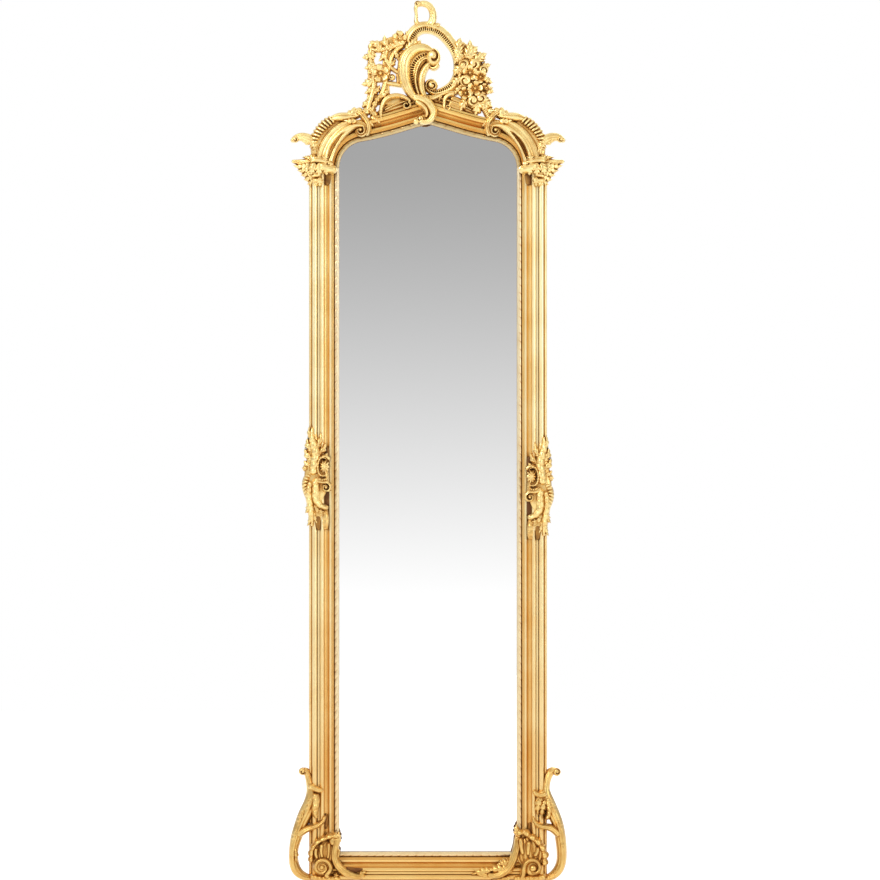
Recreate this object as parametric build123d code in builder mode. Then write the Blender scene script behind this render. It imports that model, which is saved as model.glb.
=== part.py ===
from build123d import *
from math import atan2, cos, degrees, radians, sin, sqrt, tan
import os

os.makedirs("parts", exist_ok=True)

# The opening: a straight-sided sight with rounded shoulders and a low pointed arch
sight_width = 400.0
sight_side_height = 1540.0
arch_rise = 98.5
shoulder_radius = 60.0
shoulder_turn = 80.0
flank_reach = 0.3
flank_drop = 0.18

# Moulding members, from the sight edge outward
lip_width = 11.5
slope_width = 6.0
fillet_width = 4.0
cove_width = 12.0
ogee_width = 9.0
flat_width = 5.0
quirk_width = 1.0
astragal_width = 11.0
bead_width = 8.0

# Heights of the moulding members above the back of the frame
back_y = 22.0
lip_height = 17.0
slope_foot = 22.0
fillet_height = 28.0
cove_height = 24.0
flat_height = 38.0
ogee_height = 41.0
quirk_height = 36.0
astragal_height = 43.0
bead_height = 30.0
strip_height = 5.0
strip_overhang = 1.0

# Glass and backing
glass_thickness = 4.0
glass_cover = 8.0
board_thickness = 5.0
board_inset = 3.0
board_cover = 23.0
rebate_clearance = 1.0

# Screws and hangers
screw_radius = 1.75
screw_head_radius = 3.75
screw_length = 16.0
screw_head_height = 2.4
screws_up_each_side = 6
hanger_height = 1450.0
strap_width = 16.0
strap_thickness = 1.5
strap_length = 52.0
first_screw_drop = 12.0
second_screw_drop = 40.0
eye_standoff = 0.45
ring_wire_radius = 2.0
ring_clearance = 0.05
ring_inner_width = 26.0
ring_side_length = 8.0
ring_corner_radius = 3.5

# Ornament sizes: each ornament is drawn in steps of its own size
crest_height = 281.0
shoulder_ornament_width = 110.0
side_ornament_height = 232.0
side_ornament_drop = 22.0
side_ornament_level = 904.0
bracket_height = 256.0
corner_shell_width = 133.0
crest_middle_y = -8.0
crest_thickness = 24.0
plinth_back_y = 16.0
glue_gap = 0.15

# Derived lines of the frame
rail_width = (lip_width + slope_width + fillet_width + cove_width + ogee_width
              + flat_width + quirk_width + astragal_width + bead_width)
arch_width = rail_width - astragal_width - bead_width - quirk_width
half_sight = sight_width / 2
sight_bottom = rail_width
spring = sight_bottom + sight_side_height
apex = spring + arch_rise
glass_back = board_inset + board_thickness
glass_front = glass_back + glass_thickness
stile_middle = half_sight + (board_cover + rebate_clearance + rail_width) / 2


def export(piece, name):
    piece.label = name
    export_step(piece, "parts/" + name + ".step")


def heading(start, end):
    return degrees(atan2(end[1] - start[1], end[0] - start[0]))


def along(turn):
    return (cos(radians(turn)), sin(radians(turn)))


# Left half of the arch: a round shoulder, a hollow flank, then a slightly full run to the point
flat_turn = 90 - shoulder_turn
arch_centre = (shoulder_radius - half_sight, spring)
flank_start = (arch_centre[0] - shoulder_radius * sin(radians(flat_turn)),
               arch_centre[1] + shoulder_radius * cos(radians(flat_turn)))
knee = (-flank_reach * half_sight, apex - flank_drop * arch_rise)
knee_turn = 2 * heading(flank_start, knee) - flat_turn
point_turn = 2 * heading(knee, (0, apex)) - knee_turn


def arch_line():
    """Left half of the sight line from the spring to the point of the arch."""
    CenterArc(arch_centre, shoulder_radius, 180, -shoulder_turn)
    TangentArc(flank_start, knee, tangent=along(flat_turn))
    TangentArc(knee, (0, apex), tangent=along(knee_turn))


def rail_outline(full):
    """Section of the moulding: across from the sight edge, up from the back."""
    slope = lip_width + slope_width
    fillet = slope + fillet_width
    cove = fillet + cove_width
    ogee = cove + ogee_width
    flat = ogee + flat_width
    quirk = flat + quirk_width
    astragal = quirk + astragal_width
    step = glass_cover + rebate_clearance
    board = board_cover + rebate_clearance
    Polyline((flat, flat_height), (ogee, flat_height))
    ThreePointArc((ogee, flat_height), (ogee - 0.45 * ogee_width, ogee_height),
                  (cove, quirk_height))
    ThreePointArc((cove, quirk_height), (fillet + 0.4 * cove_width, cove_height),
                  (fillet, fillet_height - strip_overhang))
    Polyline((fillet, fillet_height - strip_overhang), (slope, fillet_height),
             (lip_width, slope_foot), (lip_width, lip_height),
             (strip_overhang, lip_height), (strip_overhang, glass_front),
             (step, glass_front), (step, glass_back), (board, glass_back), (board, 0))
    if full:
        Polyline((board, 0), (rail_width, 0), (rail_width, bead_height - bead_width / 2))
        ThreePointArc((rail_width, bead_height - bead_width / 2),
                      (rail_width - bead_width / 2, bead_height),
                      (astragal, bead_height - bead_width / 2))
        Line((astragal, bead_height - bead_width / 2), (astragal, flat_height - 4))
        ThreePointArc((astragal, flat_height - 4),
                      (astragal - 0.45 * astragal_width, astragal_height),
                      (quirk, quirk_height))
        Polyline((quirk, quirk_height), (flat, quirk_height), (flat, flat_height))
    else:
        Polyline((board, 0), (flat, 0), (flat, flat_height))


def strip_outline(full):
    """Section of the beading that lies on the lip of the moulding."""
    Line((0, lip_height), (lip_width - strip_overhang / 2, lip_height))
    ThreePointArc((lip_width - strip_overhang / 2, lip_height),
                  (lip_width / 2, lip_height + strip_height), (0, lip_height))


def upright(outline):
    """Left upright from the mitre at the foot to the spring of the arch."""
    with BuildPart() as piece:
        with BuildSketch(Plane(origin=(-half_sight, back_y, 0), x_dir=(-1, 0, 0), z_dir=(0, 0, 1))):
            with BuildLine():
                outline(True)
            make_face()
        extrude(amount=spring)
        split(bisect_by=Plane(origin=(-half_sight, 0, sight_bottom), z_dir=(-1, 0, 1)), keep=Keep.TOP)
    return piece.part


def footrail(outline):
    """Bottom length between the two mitres."""
    with BuildPart() as piece:
        with BuildSketch(Plane(origin=(half_sight + rail_width, back_y, sight_bottom),
                               x_dir=(0, 0, -1), z_dir=(-1, 0, 0))):
            with BuildLine():
                outline(True)
            make_face()
        extrude(amount=sight_width + 2 * rail_width)
        split(bisect_by=Plane(origin=(-half_sight, 0, sight_bottom), z_dir=(1, 0, -1)), keep=Keep.TOP)
        split(bisect_by=Plane(origin=(half_sight, 0, sight_bottom), z_dir=(-1, 0, -1)), keep=Keep.TOP)
    return piece.part


def archrail(outline):
    """Left half of the arch, bent along the sight line and mitred at the point."""
    with BuildPart() as piece:
        with BuildLine(Plane.XZ) as path:
            arch_line()
            Line((0, apex), (rail_width / 2, apex + rail_width / 2 * tan(radians(point_turn))))
        with BuildSketch(Plane(origin=(-half_sight, back_y, spring), x_dir=(-1, 0, 0), z_dir=(0, 0, 1))):
            with BuildLine():
                outline(False)
            make_face()
        sweep(path=path.wire())
        split(bisect_by=Plane.YZ, keep=Keep.BOTTOM)
    return piece.part


def mirrored(piece):
    with BuildPart() as other:
        mirror(piece, about=Plane.YZ)
    return other.part


def screw(x, z, head_y, countersunk):
    """A wood screw driven forward into the frame, its head at the given depth."""
    with BuildPart() as piece:
        with BuildSketch(Plane(origin=(x, head_y, z), x_dir=(1, 0, 0), z_dir=(0, 0, 1))):
            with BuildLine():
                if countersunk:
                    Polyline((0, 0), (screw_head_radius, 0), (screw_radius, -screw_head_height),
                             (screw_radius, -screw_length), (0, -screw_length - screw_radius), (0, 0))
                else:
                    Polyline((0, screw_head_height), (0.7 * screw_head_radius, screw_head_height),
                             (screw_head_radius, 0.5 * screw_head_height), (screw_head_radius, 0),
                             (screw_radius, 0), (screw_radius, -screw_length),
                             (0, -screw_length - screw_radius), (0, screw_head_height))
            make_face()
        revolve(axis=Axis((x, 0, z), (0, 1, 0)))
    return piece.part


# Hardware on the back of each stile
strap_front = back_y + strap_thickness
ring_half = ring_inner_width / 2 + ring_wire_radius
eye_inner = ring_wire_radius + ring_clearance
eye_outer = eye_inner + strap_thickness
axis_y = back_y + eye_outer + eye_standoff


def strap(x):
    """Steel strip rolled into an eye at its top end, with two screw holes below."""
    with BuildPart() as piece:
        with BuildSketch(Plane(origin=(x - strap_width / 2, 0, hanger_height), x_dir=(0, 1, 0), z_dir=(1, 0, 0))):
            with Locations((axis_y, 0)):
                Circle(eye_outer)
            with Locations((back_y + strap_thickness / 2, -strap_length / 2)):
                Rectangle(strap_thickness, strap_length)
            with Locations((axis_y, 0)):
                Circle(eye_inner, mode=Mode.SUBTRACT)
        extrude(amount=strap_width)
        for drop in (first_screw_drop, second_screw_drop):
            add(screw(x, hanger_height - drop, strap_front, False), mode=Mode.SUBTRACT)
    return piece.part


def ring(x):
    """D-ring of round wire, its straight side in the strap's eye, hanging down."""
    with BuildPart() as piece:
        with BuildLine(Plane(origin=(x, axis_y, hanger_height), x_dir=(1, 0, 0), z_dir=(0, -1, 0))) as wire:
            FilletPolyline((-ring_half, -ring_side_length), (-ring_half, 0), (ring_half, 0),
                           (ring_half, -ring_side_length), radius=ring_corner_radius)
            ThreePointArc((ring_half, -ring_side_length), (0, -ring_side_length - ring_half),
                          (-ring_half, -ring_side_length))
        with BuildSketch(Plane(origin=(x, axis_y, hanger_height), x_dir=(0, 1, 0), z_dir=(1, 0, 0))):
            Circle(ring_wire_radius)
        sweep(path=wire.wire())
    return piece.part


# Carved and cast ornament, drawn in steps of each ornament's own size


class Spot:
    """Turns steps to the right and up from an anchor into frame coordinates."""

    def __init__(self, right, up, step, grow=0.0):
        self.right = right
        self.up = up
        self.step = step
        self.grow = grow

    def __call__(self, right, up, depth):
        return (self.right + self.step * right, depth, self.up + self.step * up)

    def flat(self, at):
        return (self.right + self.step * at[0], self.up + self.step * at[1])

    def bed(self):
        """The same place drawn a little larger, to cut the bed of a neighbour."""
        return Spot(self.right, self.up, self.step, glue_gap)


def limb(spot, steps, widths, middle, thick):
    """A tapering limb: ovals lofted along a smooth line through the steps."""
    corners = [spot(right, up, middle) for right, up in steps]
    with BuildPart() as piece:
        with BuildLine() as centre_line:
            Spline(*corners)
        line = centre_line.edge()
        count = 2 * len(steps) - 1
        for station in range(count):
            share = station / (count - 1)
            place = share * (len(widths) - 1)
            before = min(int(place), len(widths) - 2)
            width = widths[before] + (place - before) * (widths[before + 1] - widths[before])
            ahead = line % share
            side = ahead.cross(Vector(0, 1, 0)).normalized()
            with BuildSketch(Plane(origin=line @ share, x_dir=side, z_dir=ahead)):
                Ellipse(spot.step * width / 2 + spot.grow,
                        thick / 2 * min(1, 0.35 + width / max(widths)) + spot.grow)
        loft()
    return piece.part


def leaf(spot, base, tip, width, back, thick):
    """A pointed leaf cut from a slab, its edges drawn in toward the front."""
    across = (base[1] - tip[1], tip[0] - base[0])
    length = sqrt(across[0] ** 2 + across[1] ** 2)
    middle = ((base[0] + tip[0]) / 2, (base[1] + tip[1]) / 2)
    half = width / 2 + spot.grow / spot.step
    bulge = (across[0] * half / length, across[1] * half / length)
    left = (middle[0] + bulge[0], middle[1] + bulge[1])
    right = (middle[0] - bulge[0], middle[1] - bulge[1])
    with BuildPart() as piece:
        with BuildSketch(Plane.XZ.offset(-back - spot.grow)):
            with BuildLine():
                ThreePointArc(spot.flat(base), spot.flat(left), spot.flat(tip))
                ThreePointArc(spot.flat(tip), spot.flat(right), spot.flat(base))
            make_face()
        extrude(amount=thick + 2 * spot.grow, taper=12)
    return piece.part


def knob(spot, at, radius, back, thick):
    """A turned button with a sunk ring, as the eye of a volute."""
    place = spot(at[0], at[1], back + spot.grow)
    size = spot.step * radius + spot.grow
    tall = thick + 2 * spot.grow
    with BuildPart() as piece:
        with BuildSketch(Plane(origin=place, x_dir=(1, 0, 0), z_dir=(0, 0, 1))):
            with BuildLine():
                Polyline((0, 0), (size, 0), (size, 0.2 * size - tall), (0.85 * size, -tall),
                         (0.7 * size, -tall), (0.6 * size, 0.3 * size - tall),
                         (0.35 * size, 0.05 * size - tall), (0, 0.05 * size - tall), close=True)
            make_face()
        revolve(axis=Axis(place, (0, 1, 0)))
    return piece.part


def blossom(spot, at, radius, back, thick):
    """Five rounded petals round a domed centre."""
    size = spot.step * radius
    with BuildPart() as piece:
        with BuildSketch(Plane.XZ.offset(-back)):
            with Locations(spot.flat(at)):
                with PolarLocations(0.58 * size, 5, start_angle=90):
                    Circle(0.42 * size)
                Circle(0.5 * size)
        extrude(amount=0.7 * thick)
        with BuildSketch(Plane.XZ.offset(0.7 * thick - back)):
            with Locations(spot.flat(at)):
                Circle(0.34 * size)
        extrude(amount=0.3 * thick, taper=20)
    return piece.part


def slab(spot, outline, back, thick):
    """A plain block of the given outline."""
    with BuildPart() as piece:
        with BuildSketch(Plane.XZ.offset(-back - spot.grow)):
            with BuildLine():
                Polyline(*[spot.flat(at) for at in outline], close=True)
            make_face()
            if spot.grow:
                offset(amount=spot.grow)
        extrude(amount=thick + 2 * spot.grow)
    return piece.part


def casting(pieces, seats):
    """One casting: each part cut away where it sits on what is behind, then all run together."""
    bedded = []
    for part in pieces:
        with BuildPart() as cut:
            add(part)
            if seats:
                add(seats, mode=Mode.SUBTRACT)
        bedded.append(cut.part)
    with BuildPart() as whole:
        add(bedded)
    return whole.part


def panel(cover, front_y, thick):
    """A sheet that follows the sight and reaches past it by the cover all round."""
    with BuildPart() as piece:
        with BuildSketch(Plane.XZ.offset(-front_y)):
            with BuildLine():
                Polyline((0, sight_bottom), (-half_sight, sight_bottom), (-half_sight, spring))
                arch_line()
                mirror(about=Plane.YZ)
            make_face()
            offset(amount=cover, kind=Kind.INTERSECTION)
        extrude(amount=-thick)
    return piece.part


# Frame mouldings with the beading glued on their lips
left_stile = upright(rail_outline)
bottom_rail = footrail(rail_outline)
arch_rail_left = archrail(rail_outline)
sight_strip_left = upright(strip_outline)
sight_strip_bottom = footrail(strip_outline)
sight_strip_arch_left = archrail(strip_outline)

# Glass against the lips and the board that holds it
mirror_glass = panel(glass_cover, back_y - glass_front, glass_thickness)
backing_board = panel(board_cover, back_y - glass_back, board_thickness)
board_back_y = back_y - board_inset

# Screws round the board: up each side, across the foot and round the arch
screw_line = (glass_cover + rebate_clearance + board_cover) / 2
screw_places = []
for row in range(screws_up_each_side):
    rise = (row + 0.5) / screws_up_each_side * sight_side_height
    screw_places.append((half_sight + screw_line, sight_bottom + rise))
screw_places.append((half_sight / 2, sight_bottom - screw_line))
screw_places.append((-arch_centre[0] + (shoulder_radius + screw_line) * cos(radians(shoulder_turn / 2)),
                     spring + (shoulder_radius + screw_line) * sin(radians(shoulder_turn / 2))))
screw_places.append((-knee[0] + screw_line * sin(radians(knee_turn)),
                     knee[1] + screw_line * cos(radians(knee_turn))))
board_screws = []
for x, z in screw_places:
    board_screws.append(screw(x, z, board_back_y, True))
    board_screws.append(screw(-x, z, board_back_y, True))
strap_screws = []
for side in (-1, 1):
    for drop in (first_screw_drop, second_screw_drop):
        strap_screws.append(screw(side * stile_middle, hanger_height - drop, strap_front, False))


def arch_band(inner, outer, front_y):
    """A plain band over the whole arch and its two uprights, between two lines off the sight."""
    with BuildPart() as piece:
        with BuildSketch(Plane.XZ.offset(-back_y)):
            for reach, how in ((outer, Mode.ADD), (inner, Mode.SUBTRACT)):
                with BuildSketch(Plane.XZ, mode=Mode.PRIVATE) as sheet:
                    with BuildLine():
                        Polyline((0, sight_bottom), (-half_sight, sight_bottom), (-half_sight, spring))
                        arch_line()
                        mirror(about=Plane.YZ)
                    make_face()
                    offset(amount=reach, kind=Kind.INTERSECTION)
                add(sheet.sketch, mode=how)
        extrude(amount=back_y - front_y)
    return piece.part


def plain_bar(low, high, front_y):
    """A square-edged bar as deep as the frame, between two corners."""
    with BuildPart() as piece:
        with BuildSketch(Plane.XZ.offset(-back_y)):
            with Locations(((low[0] + high[0]) / 2, (low[1] + high[1]) / 2)):
                Rectangle(high[0] - low[0], high[1] - low[1])
        extrude(amount=back_y - front_y)
    return piece.part


# The frame as plain bars: ornaments bed on these, a glue line off the highest beads
stile_front = back_y - astragal_height - glue_gap
arch_front = back_y - ogee_height - glue_gap
outer_side = half_sight + rail_width + glue_gap
left_bed = plain_bar((-outer_side, -glue_gap), (-half_sight, spring + glue_gap), stile_front)
foot_bed = plain_bar((-outer_side, -glue_gap), (outer_side, rail_width), stile_front)
arch_bed = arch_band(-1, arch_width + glue_gap, arch_front)

# Crest on the point of the arch
crest = Spot(0, apex, crest_height / 125)


def plinth_block(spot):
    return slab(spot, ((0, 17), (-46, 4), (-46, 15), (-30, 23), (0, 29), (30, 23), (46, 13), (46, 4)),
                plinth_back_y, plinth_back_y - crest_middle_y)


def outer_scroll(spot):
    """Big open C from behind the acanthus, over the top and round to its volute."""
    return [
        limb(spot, [(-19, 81), (-14, 92), (-4, 96.5), (8, 94), (18, 86), (25, 77), (29, 68), (30, 57),
                    (29, 47), (24, 38), (15, 33), (8, 33)],
             [9, 11, 12, 11, 11, 10, 9, 9, 9, 9, 8, 6], crest_middle_y, crest_thickness),
        limb(spot, [(17, 33), (10, 28), (2, 25), (-4, 25)], [6, 6, 6, 5], crest_middle_y, 0.8 * crest_thickness),
        knob(spot, (4, 38), 6, 1, 27),
    ]


def acanthus_scroll(spot):
    """Two crescent limbs with a sunk web between, tied down over the point of the arch."""
    return [
        limb(spot, [(4, 68), (-2, 74), (-14, 73), (-23, 64), (-24.5, 50), (-22, 38), (-15, 28), (-8, 23)],
             [5, 8, 9, 11, 11, 10, 8, 7], -18, 24),
        limb(spot, [(3, 62), (-4, 58), (-10, 49), (-11, 39), (-9, 30), (-6, 25)], [4, 6, 7, 7, 6, 5], -17, 20),
        limb(spot, [(-5, 67), (-14, 59), (-18, 47), (-15, 35), (-11, 29)], [6, 9, 9, 8, 6], -12, 14),
        limb(spot, [(-13, 25), (-4, 22), (3, 16), (5, 9), (1, 3), (-5, 1), (-11, 3)], [6, 7, 7, 7, 6, 5, 4], -27, 19),
        limb(spot, [(-11, 23), (-5, 17), (0, 10)], [6, 5, 4], -24, 16),
        knob(spot, (5, 65), 7, -5, 33),
    ]


plinth_bed = plinth_block(crest.bed())
crest_plinth = casting([plinth_block(crest)], [arch_bed])
crest_outer_scroll = casting(outer_scroll(crest), [arch_bed] + [plinth_bed])
crest_acanthus_scroll = casting(acanthus_scroll(crest), [arch_bed] + [plinth_bed] + outer_scroll(crest.bed()))
crest_finial = casting([
    limb(crest, [(3, 98), (5, 105), (6, 114), (2, 120), (-5, 121.5), (-11, 119)], [8, 7, 7, 7, 6, 4],
         crest_middle_y, 15),
    limb(crest, [(-9, 120), (-12.5, 115), (-11, 108), (-12.5, 102), (-14, 96)], [4, 3, 3, 4, 5],
         crest_middle_y, 12),
], outer_scroll(crest.bed())[:1])
crest_base_scroll_left = casting([
    limb(crest, [(-47, 6), (-46, 17), (-42, 24), (-34, 27), (-26, 26), (-19, 21)], [4, 5, 5, 5, 4, 3], -15, 16),
    knob(crest, (-22, 18), 4, -7, 18),
], [arch_bed] + [plinth_bed])
crest_base_scroll_right = casting([
    limb(crest, [(27, 29), (20, 27), (16, 20), (20, 13)], [5, 5, 5, 4], -15, 16),
    knob(crest, (20, 16), 4, -7, 18),
], [arch_bed] + [plinth_bed])
crest_spray = casting([
    limb(crest, [(-57, 75), (-57, 63), (-55, 52), (-54, 40), (-56, 28), (-60, 16), (-63, 8)],
         [4, 4, 5, 5, 5, 6, 5], -7, 14),
    limb(crest, [(-25, 80), (-33, 73), (-38, 63), (-40, 52), (-43, 41), (-50, 26)], [6, 5, 4, 4, 4, 5], -7, 14),
    limb(crest, [(-58, 73), (-49, 74), (-40, 76), (-30, 80), (-20, 82)], [4, 5, 6, 7, 7], -7, 14),
    limb(crest, [(-40, 73), (-42, 66), (-38, 58), (-32, 52), (-26, 48)], [4, 3.5, 4, 4, 4], -8, 12),
    limb(crest, [(-56, 56), (-48, 55), (-39, 54)], [6, 8, 5], -7, 14),
    limb(crest, [(-43, 42), (-36, 40), (-26, 38)], [4, 4, 4], -7, 12),
    blossom(crest, (-48, 51), 8, -2, 20),
    leaf(crest, (-37, 73), (-44, 86), 6, -2, 16),
    leaf(crest, (-31, 76), (-37, 88), 6, -2, 16),
    leaf(crest, (-25, 78), (-30, 90), 6, -2, 16),
    leaf(crest, (-50, 73), (-59, 81), 6, -2, 16),
    leaf(crest, (-53, 40), (-68, 39), 7, -2, 14),
    leaf(crest, (-55, 58), (-62, 66), 5, -2, 14),
    leaf(crest, (-61, 13), (-51, -1), 7, -6, 20),
], [arch_bed] + [plinth_bed] + outer_scroll(crest.bed())[:1] + acanthus_scroll(crest.bed())[:1])
crest_bouquet = casting([
    limb(crest, [(32, 80), (38, 66), (44, 50), (45, 32), (40, 16)], [8, 16, 24, 26, 14], -8, 24),
    blossom(crest, (41, 55), 9, -6, 22),
    blossom(crest, (51, 43), 9, -6, 20),
    blossom(crest, (44, 30), 9, -6, 24),
    blossom(crest, (55, 29), 7, -4, 18),
    leaf(crest, (35, 70), (31, 87), 8, 0, 18),
    leaf(crest, (42, 68), (45, 82), 8, 0, 18),
    leaf(crest, (48, 62), (58, 73), 8, 0, 18),
    leaf(crest, (52, 48), (63, 42), 7, 0, 16),
    leaf(crest, (55, 40), (65, 34), 6, 0, 16),
    leaf(crest, (55, 26), (63, 14), 7, 0, 18),
    leaf(crest, (46, 28), (45, 8), 10, -6, 22),
    leaf(crest, (38, 28), (33, 12), 8, -6, 20),
    leaf(crest, (52, 22), (63, -4), 6, -6, 20),
], [arch_bed] + [plinth_bed] + outer_scroll(crest.bed())[:1])

# Shoulders, drawn for the left and turned over for the right
shoulder = Spot(-half_sight, spring, shoulder_ornament_width / 49)


def coved_scroll(spot):
    return [
        limb(spot, [(-20, 7.5), (-16, 18.5), (-11, 28.5), (-3, 37.5), (7, 43), (17, 44.5), (25, 41.5)],
             [14, 15, 14, 13, 11, 9, 6], -16, 36),
        knob(spot, (22, 37), 5, -7, 33),
    ]


def shell_edge(spot):
    """Ribbed band outside the scroll, its ribs fanned about the middle of the shoulder."""
    parts = [limb(spot, [(-27, 29), (-24, 35), (-18, 42), (-10, 48.5), (1, 52), (12, 53), (21, 55)],
                  [5, 7, 8, 7, 5, 5, 4], -9, 18)]
    for rib in range(8):
        turn = radians(152 - 9 * rib)
        parts.append(leaf(spot, (12 + 36 * cos(turn), 12 + 36 * sin(turn)),
                          (12 + 49 * cos(turn), 12 + 47 * sin(turn)), 6, -1.5, 20))
    return parts


shoulder_scroll_left = casting(coved_scroll(shoulder), [left_bed, arch_bed])
shoulder_shell_left = casting(shell_edge(shoulder) + [leaf(shoulder, (20, 55), (12, 46), 5, -4, 20)],
                              [left_bed, arch_bed] + coved_scroll(shoulder.bed()))
shoulder_leaf_left = casting([
    limb(shoulder, [(-25, 13), (-28, 20), (-34, 25), (-39, 29), (-44, 29)], [7, 6, 6, 6, 4], -8, 14),
    leaf(shoulder, (-36, 28), (-46, 33), 5, -2, 12),
], [left_bed, arch_bed] + coved_scroll(shoulder.bed())[:1] + shell_edge(shoulder.bed())[:1])
capital_parts = []
for band, (rise, reach) in enumerate(((4, -4), (-3, -8), (-9, -9), (-15, -11))):
    capital_parts.append(limb(shoulder, [(-29 + band, rise), (-18, rise + 1), (reach, rise)], [7, 9, 7], -14, 38))
capital_left = casting(capital_parts + [
    limb(shoulder, [(-18, 0), (-10, -2), (-2, -1)], [7, 8, 7], -26, 20),
    knob(shoulder, (-5, -2), 5, -12, 28),
    limb(shoulder, [(-20, 4), (-34, 4), (-47, 5.5)], [9, 7, 3], -8, 14),
    leaf(shoulder, (-20, -1), (-43, -4), 8, -2, 22),
    leaf(shoulder, (-20, -6), (-36, -12), 8, -3, 24),
    leaf(shoulder, (-20, -11), (-32, -18), 8, -4, 26),
], [left_bed, arch_bed] + coved_scroll(shoulder.bed())[:1])


def side_ornament(level):
    """Leaf, cabochon and volute casting half way up a stile."""
    side = Spot(-half_sight - rail_width / 2, level, side_ornament_height / 103)
    return casting([
        limb(side, [(-11, 53), (-10, 40), (-8, 28), (-8, 16), (-11, 4)], [4, 9, 11, 13, 10], -23, 18),
        leaf(side, (-9, 28), (-20, 32), 6, -12, 18),
        leaf(side, (-9, 36), (-1, 47), 6, -12, 18),
        leaf(side, (-8, 28), (4, 37), 7, -12, 18),
        limb(side, [(1, 23), (1, 14), (1, 3)], [6, 12, 7], -24, 24),
        knob(side, (-18, 12), 3.5, -8, 18),
        limb(side, [(-14, 6), (-19, -6), (-15, -18)], [5, 7, 5], -16, 20),
        knob(side, (2, -7), 5, -10, 28),
        limb(side, [(-4, -3), (-6.5, -11), (-6, -19), (-1, -25), (6, -27)], [6, 8, 8, 7, 4], -26, 18),
        limb(side, [(-12, 6), (-13, -10), (-11, -25), (-12, -43)], [9, 10, 8, 3], -23, 18),
        leaf(side, (-9, -24), (0, -38), 8, -12, 18),
        slab(side, ((-4, -50), (4, -50), (4, -30), (-4, -30)), -6, 20),
    ], [left_bed])


side_ornament_left = side_ornament(side_ornament_level)
side_ornament_right = side_ornament(side_ornament_level - side_ornament_drop)

# Foot: shell on the mitre, then the open bracket on the outside
corner = Spot(-half_sight - rail_width, 0, corner_shell_width / 59)
corner_ribs = []
for tip in ((3, 27), (4, 36), (9, 42), (16, 45), (23, 47), (29, 42)):
    corner_ribs.append(leaf(corner, (16, 17), tip, 8, -12, 20))
corner_shell_left = casting(corner_ribs + [
    knob(corner, (14, 16), 6.5, -12, 28),
    limb(corner, [(20, 34), (27, 21), (33, 14), (41, 8), (50, 5), (59, 9)], [5, 7, 7, 7, 6, 4], -25, 14),
    leaf(corner, (25, 34), (31, 54), 6, -12, 18),
    limb(corner, [(2, 9), (13, 6), (26, 6), (38, 8)], [8, 10, 10, 6], -21, 22),
], [left_bed, foot_bed])
bracket = Spot(-half_sight - rail_width, 0, bracket_height / 114)
side_bracket_left = casting([
    limb(bracket, [(-6, 112), (-2, 105), (2, 94), (0, 82), (-6, 67), (-11, 54), (-14.5, 42), (-15.5, 29),
                   (-15, 18), (-10, 9), (-1, 5)],
         [4, 7, 10, 13, 13, 12, 9, 9, 10, 9, 7], -11, 30),
    leaf(bracket, (-3, 105), (-9, 113), 4, -4, 14),
    limb(bracket, [(-11, 47), (-3, 53), (5, 56), (12, 59), (16, 65)], [7, 7, 7, 6, 3], -19, 18),
    limb(bracket, [(-2, 96), (6, 94), (13, 91)], [7, 7, 4], -23, 16),
], [left_bed])

# Holes for the screws
left_stile = casting([left_stile], board_screws + strap_screws)
right_stile = mirrored(left_stile)
bottom_rail = casting([bottom_rail], board_screws)
arch_rail_left = casting([arch_rail_left], board_screws)
backing_board = casting([backing_board], board_screws)

export(left_stile, "left_stile")
export(right_stile, "right_stile")
export(bottom_rail, "bottom_rail")
export(arch_rail_left, "arch_rail_left")
export(mirrored(arch_rail_left), "arch_rail_right")
export(sight_strip_left, "sight_strip_left")
export(mirrored(sight_strip_left), "sight_strip_right")
export(sight_strip_bottom, "sight_strip_bottom")
export(sight_strip_arch_left, "sight_strip_arch_left")
export(mirrored(sight_strip_arch_left), "sight_strip_arch_right")
export(mirror_glass, "mirror_glass")
export(backing_board, "backing_board")
export(casting(board_screws, []), "backing_screws")
export(casting(strap_screws, []), "hanger_screws")
export(strap(-stile_middle), "hanger_strap_left")
export(strap(stile_middle), "hanger_strap_right")
export(ring(-stile_middle), "hanger_ring_left")
export(ring(stile_middle), "hanger_ring_right")
export(crest_plinth, "crest_plinth")
export(crest_outer_scroll, "crest_outer_scroll")
export(crest_acanthus_scroll, "crest_acanthus_scroll")
export(crest_finial, "crest_finial")
export(crest_base_scroll_left, "crest_base_scroll_left")
export(crest_base_scroll_right, "crest_base_scroll_right")
export(crest_spray, "crest_spray")
export(crest_bouquet, "crest_bouquet")
export(shoulder_scroll_left, "shoulder_scroll_left")
export(mirrored(shoulder_scroll_left), "shoulder_scroll_right")
export(shoulder_shell_left, "shoulder_shell_left")
export(mirrored(shoulder_shell_left), "shoulder_shell_right")
export(shoulder_leaf_left, "shoulder_leaf_left")
export(mirrored(shoulder_leaf_left), "shoulder_leaf_right")
export(capital_left, "capital_left")
export(mirrored(capital_left), "capital_right")
export(side_ornament_left, "side_ornament_left")
export(mirrored(side_ornament_right), "side_ornament_right")
export(corner_shell_left, "corner_shell_left")
export(mirrored(corner_shell_left), "corner_shell_right")
export(side_bracket_left, "side_bracket_left")
export(mirrored(side_bracket_left), "side_bracket_right")
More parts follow.
